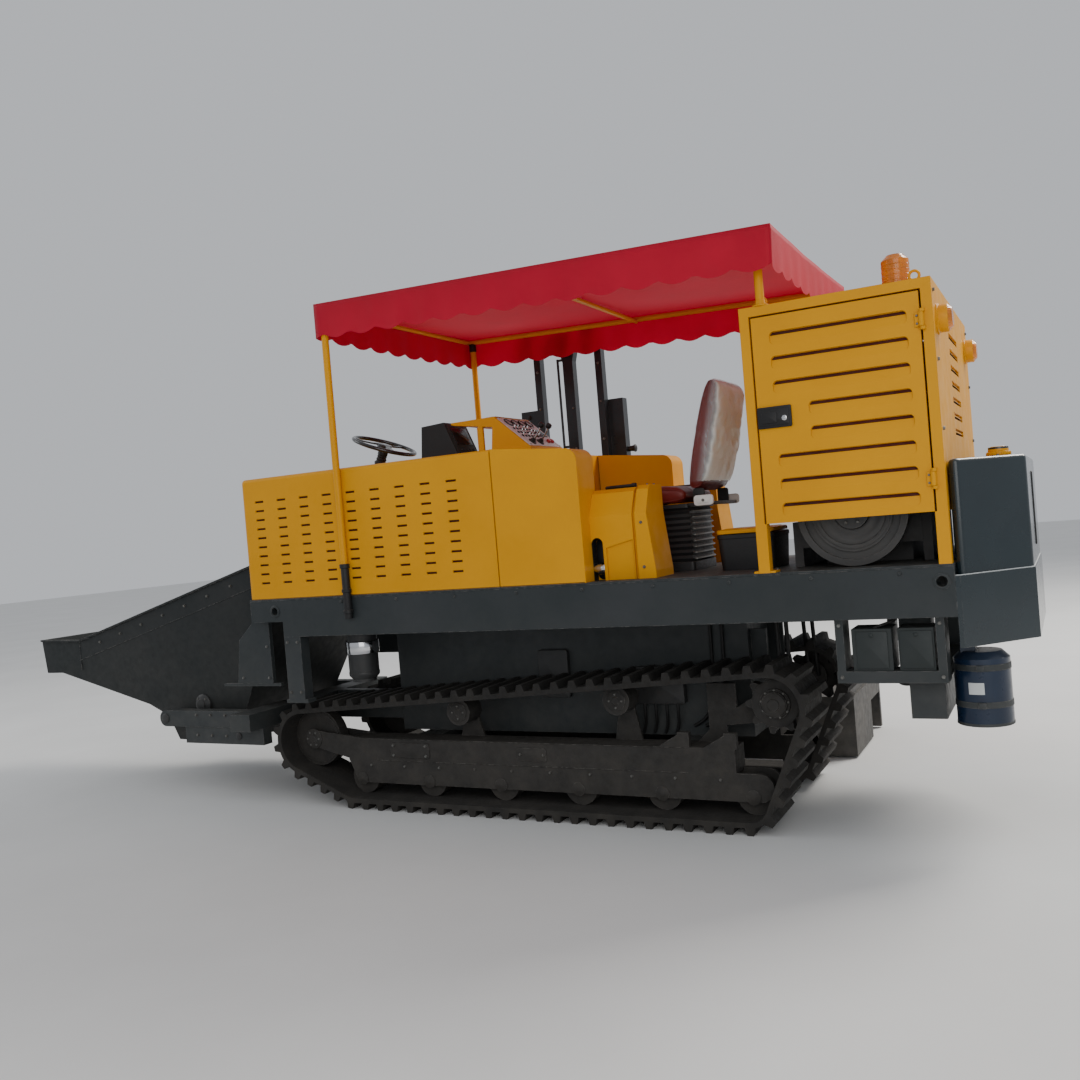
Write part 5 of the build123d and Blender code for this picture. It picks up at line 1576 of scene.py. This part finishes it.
@dataclass
class Ends(SubAssembly):
    """Hopper, tank, mast and mould fittings."""

    rim_x: float = 2960.0
    rim_z: float = 1447.0
    lip_x: float = 4677.0
    lip_z: float = 994.0
    hopper_side: float = 500.4
    auger_x: float = 3640.0
    auger_z: float = 560.0
    cap_x: float = -1025.0
    cap_y: float = 430.0
    mast_stations: tuple[float, float] = (1288.0, 1722.0)
    mast_inner: float = -829.8
    mould_y: float = -1130.0

    def build(self) -> None:
        """Makes every group."""
        self.hopper()
        self.tank()
        self.mast()
        self.mould()

    def rim(self, x: float) -> float:
        """Height of the hopper's rim at a station."""
        return self.rim_z + (self.lip_z - self.rim_z) / (self.lip_x - self.rim_x) * (x - self.rim_x)

    def hopper(self) -> None:
        """Beads and bolts of the hopper, and the bearings of its auger."""
        beads, bolts, bearings = Shape(), Shape(), Shape()
        x, z = self.auger_x, self.auger_z
        for hand, way in HANDS:
            edge = hand * self.hopper_side
            beads.weld((2964, edge, self.rim(2964) - 134), (4700, edge, self.rim(4700) - 134), 3)
            bolts.bolts([(s, hand * 499.8, self.rim(s) - 70) for s in range(3080, 4680, 200)], way, 15)
            beads.weld((4682, edge, 980), (4682, edge, 790), 3)
            bearing = ((62, -14), (62, 2), (50, 10), (34, 14), (30, 22), (6, 24))
            bearings.spin((x, hand * 455.0, z), way, bearing, 36)
            bolts.bolts([(x + 46 * share, hand * 462.0, z + 46 * 0.7) for share in (0.7, -0.7)], way, 13)
        bolts.bolts([(5048, y, 900) for y in range(-440, 441, 176)], AHEAD, 14)
        self.keep(Slot.HOPPER, hopper_welds=beads)
        self.keep(Slot.HOPPER, Look.BOLTS, hopper_bolts=bolts)
        self.keep(Slot.CYLINDER, auger_bearings=bearings)

    def tank(self) -> None:
        """Seam bead with a painted highlight, filler cap, breather, plugs and handles of the tank."""
        ring = ((-851, 741), (-869, 741), (-1126, 461), (-1128.5, 400), (-1128.5, -400), (-1126, -461),
                (-869, -741), (-851, -741))
        bead, parts = Shape(), Shape()
        for (x1, y1), (x2, y2) in zip(ring, ring[1:]):
            bead.run([(x1, y1, 1166.5), (x2, y2, 1166.5)], 2.6)
        x, y = self.cap_x, self.cap_y
        profile = ((41, -1), (46, 0), (47, 3), (47, 16), (45, 19), (40, 20), (41, 26), (38, 36), (30, 39.5),
                   (4, 40))
        cap = Shape().spin((x, y, 1634), UP, profile, 48)
        for n in range(16):
            turn = 2 * math.pi * n / 16
            place = (x + 46.5 * math.cos(turn), y + 46.5 * math.sin(turn), 1643.5)
            cap.panel(place, (-math.sin(turn), math.cos(turn), 0), UP, (8, 13), 2.2, 2, 0.8)
        tip = Shape().spin((x, y, 1673), UP, ((30, 0), (28, 2.4), (12, 4), (3, 4.2)), 40)
        breather = ((30, 0), (30, 4), (16, 6), (16, 26), (26, 28), (26, 50), (20, 56), (4, 57))
        parts.spin((-1000, -380, 1633.6), UP, breather, 36)
        parts.panel((-1128.2, 0, 1400), RIGHT, UP, (64, 330), 4.6, 10, 2)
        bolts = Shape().bolts([(x, y + aside, 1634) for aside in (-74.0, 74.0)], UP, 12)
        for plug in (-300.0, 300.0):
            parts.panel((-1130.4, plug, 940), RIGHT, UP, (70, 70), 3.2, 8, 1)
        # the seam bead is real; its pale plate colour is a painted highlight
        self.keep(Slot.TANK, Look.PLATE, tank_seam=bead)
        self.keep(Slot.TUBE, tank_cap=cap)
        self.keep(Slot.TANK, Look.CLEAR, tank_cap_top=tip)
        self.keep(Slot.BLACK, tank_fittings=parts)
        self.keep(Slot.TANK, Look.BOLTS, tank_bolts=bolts)

    def mast(self) -> None:
        """Guide bolts, cabinet door, knobs and hoses of the mast."""
        bolts, doors, knobs, hoses = Shape(), Shape(), Shape(), Shape()
        inner = self.mast_inner
        for x in self.mast_stations:
            bolts.bolts([(x + 23, -890.2, z) for z in range(1100, 2760, 180)], RIGHT, 14)
            bolts.bolts([(x + 23, inner, z) for z in range(1300, 2760, 240)], LEFT, 14)
            doors.panel((x + 23, -860, 2779.4), AHEAD, LEFT, (58, 72), 5, 4, 1.5)
        doors.panel((1260, -960.2, 1985), *facing(-1), (120, 540), 4, 6, 1.2)
        doors.panel((1260, -889.8, 1800), *facing(1), (60, 30), 4, 5, 1.2)
        knobs.spin((1222, -964, 1985), RIGHT, ((9, 0), (12, 2), (12, 9), (9, 11), (2, 11.5)), 20)
        knobs.spin((1149.6, -925, 1945), BACK, ((19, -12), (19, 0), (24, 2), (24, 10), (18, 14), (4, 15)), 28)
        for z in (2160.0, 2215.0):
            knobs.spin((1828, inner, z), LEFT, ((14, 0), (14, 4), (9, 6), (9, 14), (3, 15)), 20)
        bolts.bolts([(1508, inner, z) for z in range(1200, 2500, 260)], LEFT, 12)
        for n in range(3):
            x = 1215.0 + 26.0 * n
            hoses.run([(x, -925, 1702), (x, -925, 1500), (x + 4, -915, 1330), (x + 6, -850, 1245),
                       (x + 6, -770, 1232), (x + 6, -700, 1228)], 9)
        hoses.run([(1525, -895, 2500), (1530, -898, 2200), (1524, -897, 1700), (1530, -896, 1250),
                   (1526, -894, 1062)], 9)
        self.keep(Slot.MAST, Look.BOLTS, mast_bolts=bolts)
        self.keep(Slot.MAST, mast_covers=doors)
        self.keep(Slot.BLACK, mast_knobs=knobs)
        self.keep(Slot.BLACK, Look.HOSE, mast_hoses=hoses)

    def mould(self) -> None:
        """Stiffeners, bolts, vibrators and welds of the kerb mould."""
        ribs, bolts, motors, beads = Shape(), Shape(), Shape(), Shape()
        for x in (-60.0, 420.0, 900.0, 1380.0, 1876.0):
            ribs.panel((x, -1170, 359.8), AHEAD, LEFT, (16, 440), 46, 3, 2)
            beads.weld((x - 9, -1380, 361), (x - 9, -960, 361), 3)
            bolts.bolts([(x, -1600, 420), (x, -1720, 420)], UP, 16)
        ribs.panel((1140, -1620, 419.8), AHEAD, LEFT, (700, 300), 30, 12, 3)
        ribs.panel((1140, -1620, 449.0), AHEAD, LEFT, (620, 230), 3, 12, 1)
        ribs.panel((908, -1793.0, 330), *facing(-1), (1960, 30), 3.6, 3, 1)
        bolts.bolts([(x, -1740.0, 420) for x in range(60, 800, 230)], UP, 15)
        bolts.bolts([(x, -1290.0, 360) for x in range(80, 1860, 240)], UP, 15)
        for x in (180.0, 660.0):
            housing = ((40, 0), (56, 4), (60, 12), (60, 118), (56, 126), (40, 130))
            motors.spin((x, self.mould_y, 425), AHEAD, housing, 36)
            for n in range(6):
                motors.torus((x + 25.0 + 16.0 * n, self.mould_y, 425), AHEAD, 60, 3, 36, 8)
            motors.panel((x + 65, self.mould_y, 359.8), AHEAD, LEFT, (150, 130), 14, 8, 2)
        bolts.bolts([(x, -950.2, z) for x in (1300, 1528, 1756) for z in (420, 560)], RIGHT, 16)
        self.keep(Slot.MOULD, body=Body.MOULD, mould_ribs=ribs)
        self.keep(Slot.MOULD, Look.BOLTS, Body.MOULD, mould_bolts=bolts)
        self.keep(Slot.CYLINDER, body=Body.MOULD, mould_vibrators=motors)
        self.keep(Slot.MOULD, body=Body.MOULD, mould_welds=beads)


@dataclass
class Stage:
    """Studio floor, lights, and the camera that stands where the photograph was taken."""

    eye: Point = (-3.2495, 5.619, 1.5)
    pitch: float = 0.0134178
    yaw: float = 0.481986
    roll: float = -0.083
    focal_px: float = 1020.0
    frame_px: float = 1080.0
    floor: float = 40.0
    floor_colour: Colour = (0.74, 0.74, 0.73)
    floor_shade: Colour = (0.69, 0.69, 0.68)
    sky_colour: Colour = (0.90, 0.93, 0.98)
    sky_strength: float = 0.62

    def camera(self) -> None:
        """Sets the camera where the photograph was taken."""
        turn = (Matrix.Rotation(self.roll, 3, "Z") @ Matrix.Rotation(self.pitch, 3, "X")
                @ Matrix.Rotation(self.yaw, 3, "Y"))
        world = turn @ Matrix(((-1, 0, 0), (0, 0, -1), (0, -1, 0)))
        right, down, ahead = world[0], world[1], world[2]
        pose = Matrix((right, -down, -ahead)).transposed().to_4x4()
        pose.translation = Vector(self.eye)
        data = bpy.data.cameras.new("camera")
        data.sensor_width = 36.0
        data.lens = data.sensor_width * self.focal_px / self.frame_px
        data.clip_end = 200.0
        lens = bpy.data.objects.new("camera", data)
        lens.matrix_world = pose
        bpy.context.scene.collection.objects.link(lens)
        bpy.context.scene.camera = lens

    def lamp(self, name: str, place: Point, aim: Point, size: float, power: float, colour: Colour) -> None:
        """Adds a soft area light.

        Args:
            name: Light name.
            place: Where it hangs.
            aim: What it points at.
            size: Side of the panel in metres.
            power: Watts.
            colour: Colour of the light.
        """
        data = bpy.data.lights.new(name, "AREA")
        data.size = size
        data.energy = power
        data.color = colour
        lamp = bpy.data.objects.new(name, data)
        lamp.location = place
        lamp.rotation_euler = (Vector(aim) - Vector(place)).to_track_quat("-Z", "Y").to_euler()
        bpy.context.scene.collection.objects.link(lamp)

    def build(self) -> None:
        """Makes the floor, world and lights."""
        mesh = bmesh.new()
        bmesh.ops.create_grid(mesh, x_segments=2, y_segments=2, size=self.floor)
        data = bpy.data.meshes.new("studio_floor")
        mesh.to_mesh(data)
        mesh.free()
        floor = bpy.data.objects.new("studio_floor", data)
        bpy.context.scene.collection.objects.link(floor)
        graph = Graph("studio floor")
        tone = graph.ramp(graph.speckle(0.8, 4.0), 0.3, 0.7)
        colour = graph.blend(tone, self.floor_colour, self.floor_shade)
        graph.link(colour, graph.shader.inputs["Base Color"])
        graph.set("Roughness", 0.85)
        data.materials.append(graph.material)
        world = bpy.data.worlds.new("studio")
        world.use_nodes = True
        sky = world.node_tree.nodes["Background"].inputs
        sky[0].default_value = (*self.sky_colour, 1.0)
        sky[1].default_value = self.sky_strength
        bpy.context.scene.world = world
        self.lamp("key", (-7.0, -6.0, 9.0), (0.0, 0.4, 1.2), 5.0, 1300.0, (1.0, 0.96, 0.90))
        self.lamp("fill", (-5.5, 10.0, 4.5), (-0.5, 0.5, 1.3), 7.0, 300.0, (1.0, 0.98, 0.95))
        self.lamp("front", (9.0, 3.0, 6.0), (0.0, 0.5, 1.0), 5.0, 140.0, (1.0, 1.0, 1.0))
        self.camera()


def main() -> None:
    """Builds every piece in order."""
    logging.basicConfig(level=logging.INFO, format="%(name)s %(message)s")
    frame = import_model()
    palette = Palette()
    palette.dress_nodes(frame)
    maker = Maker(palette)
    Stage().build()
    for group in (Canopy, Seat, Housing, Hoods, Undercarriage, Ends):
        group(maker).build()
    LOG.info("%d pieces added", maker.count)


if __name__ == "__main__":
    main()
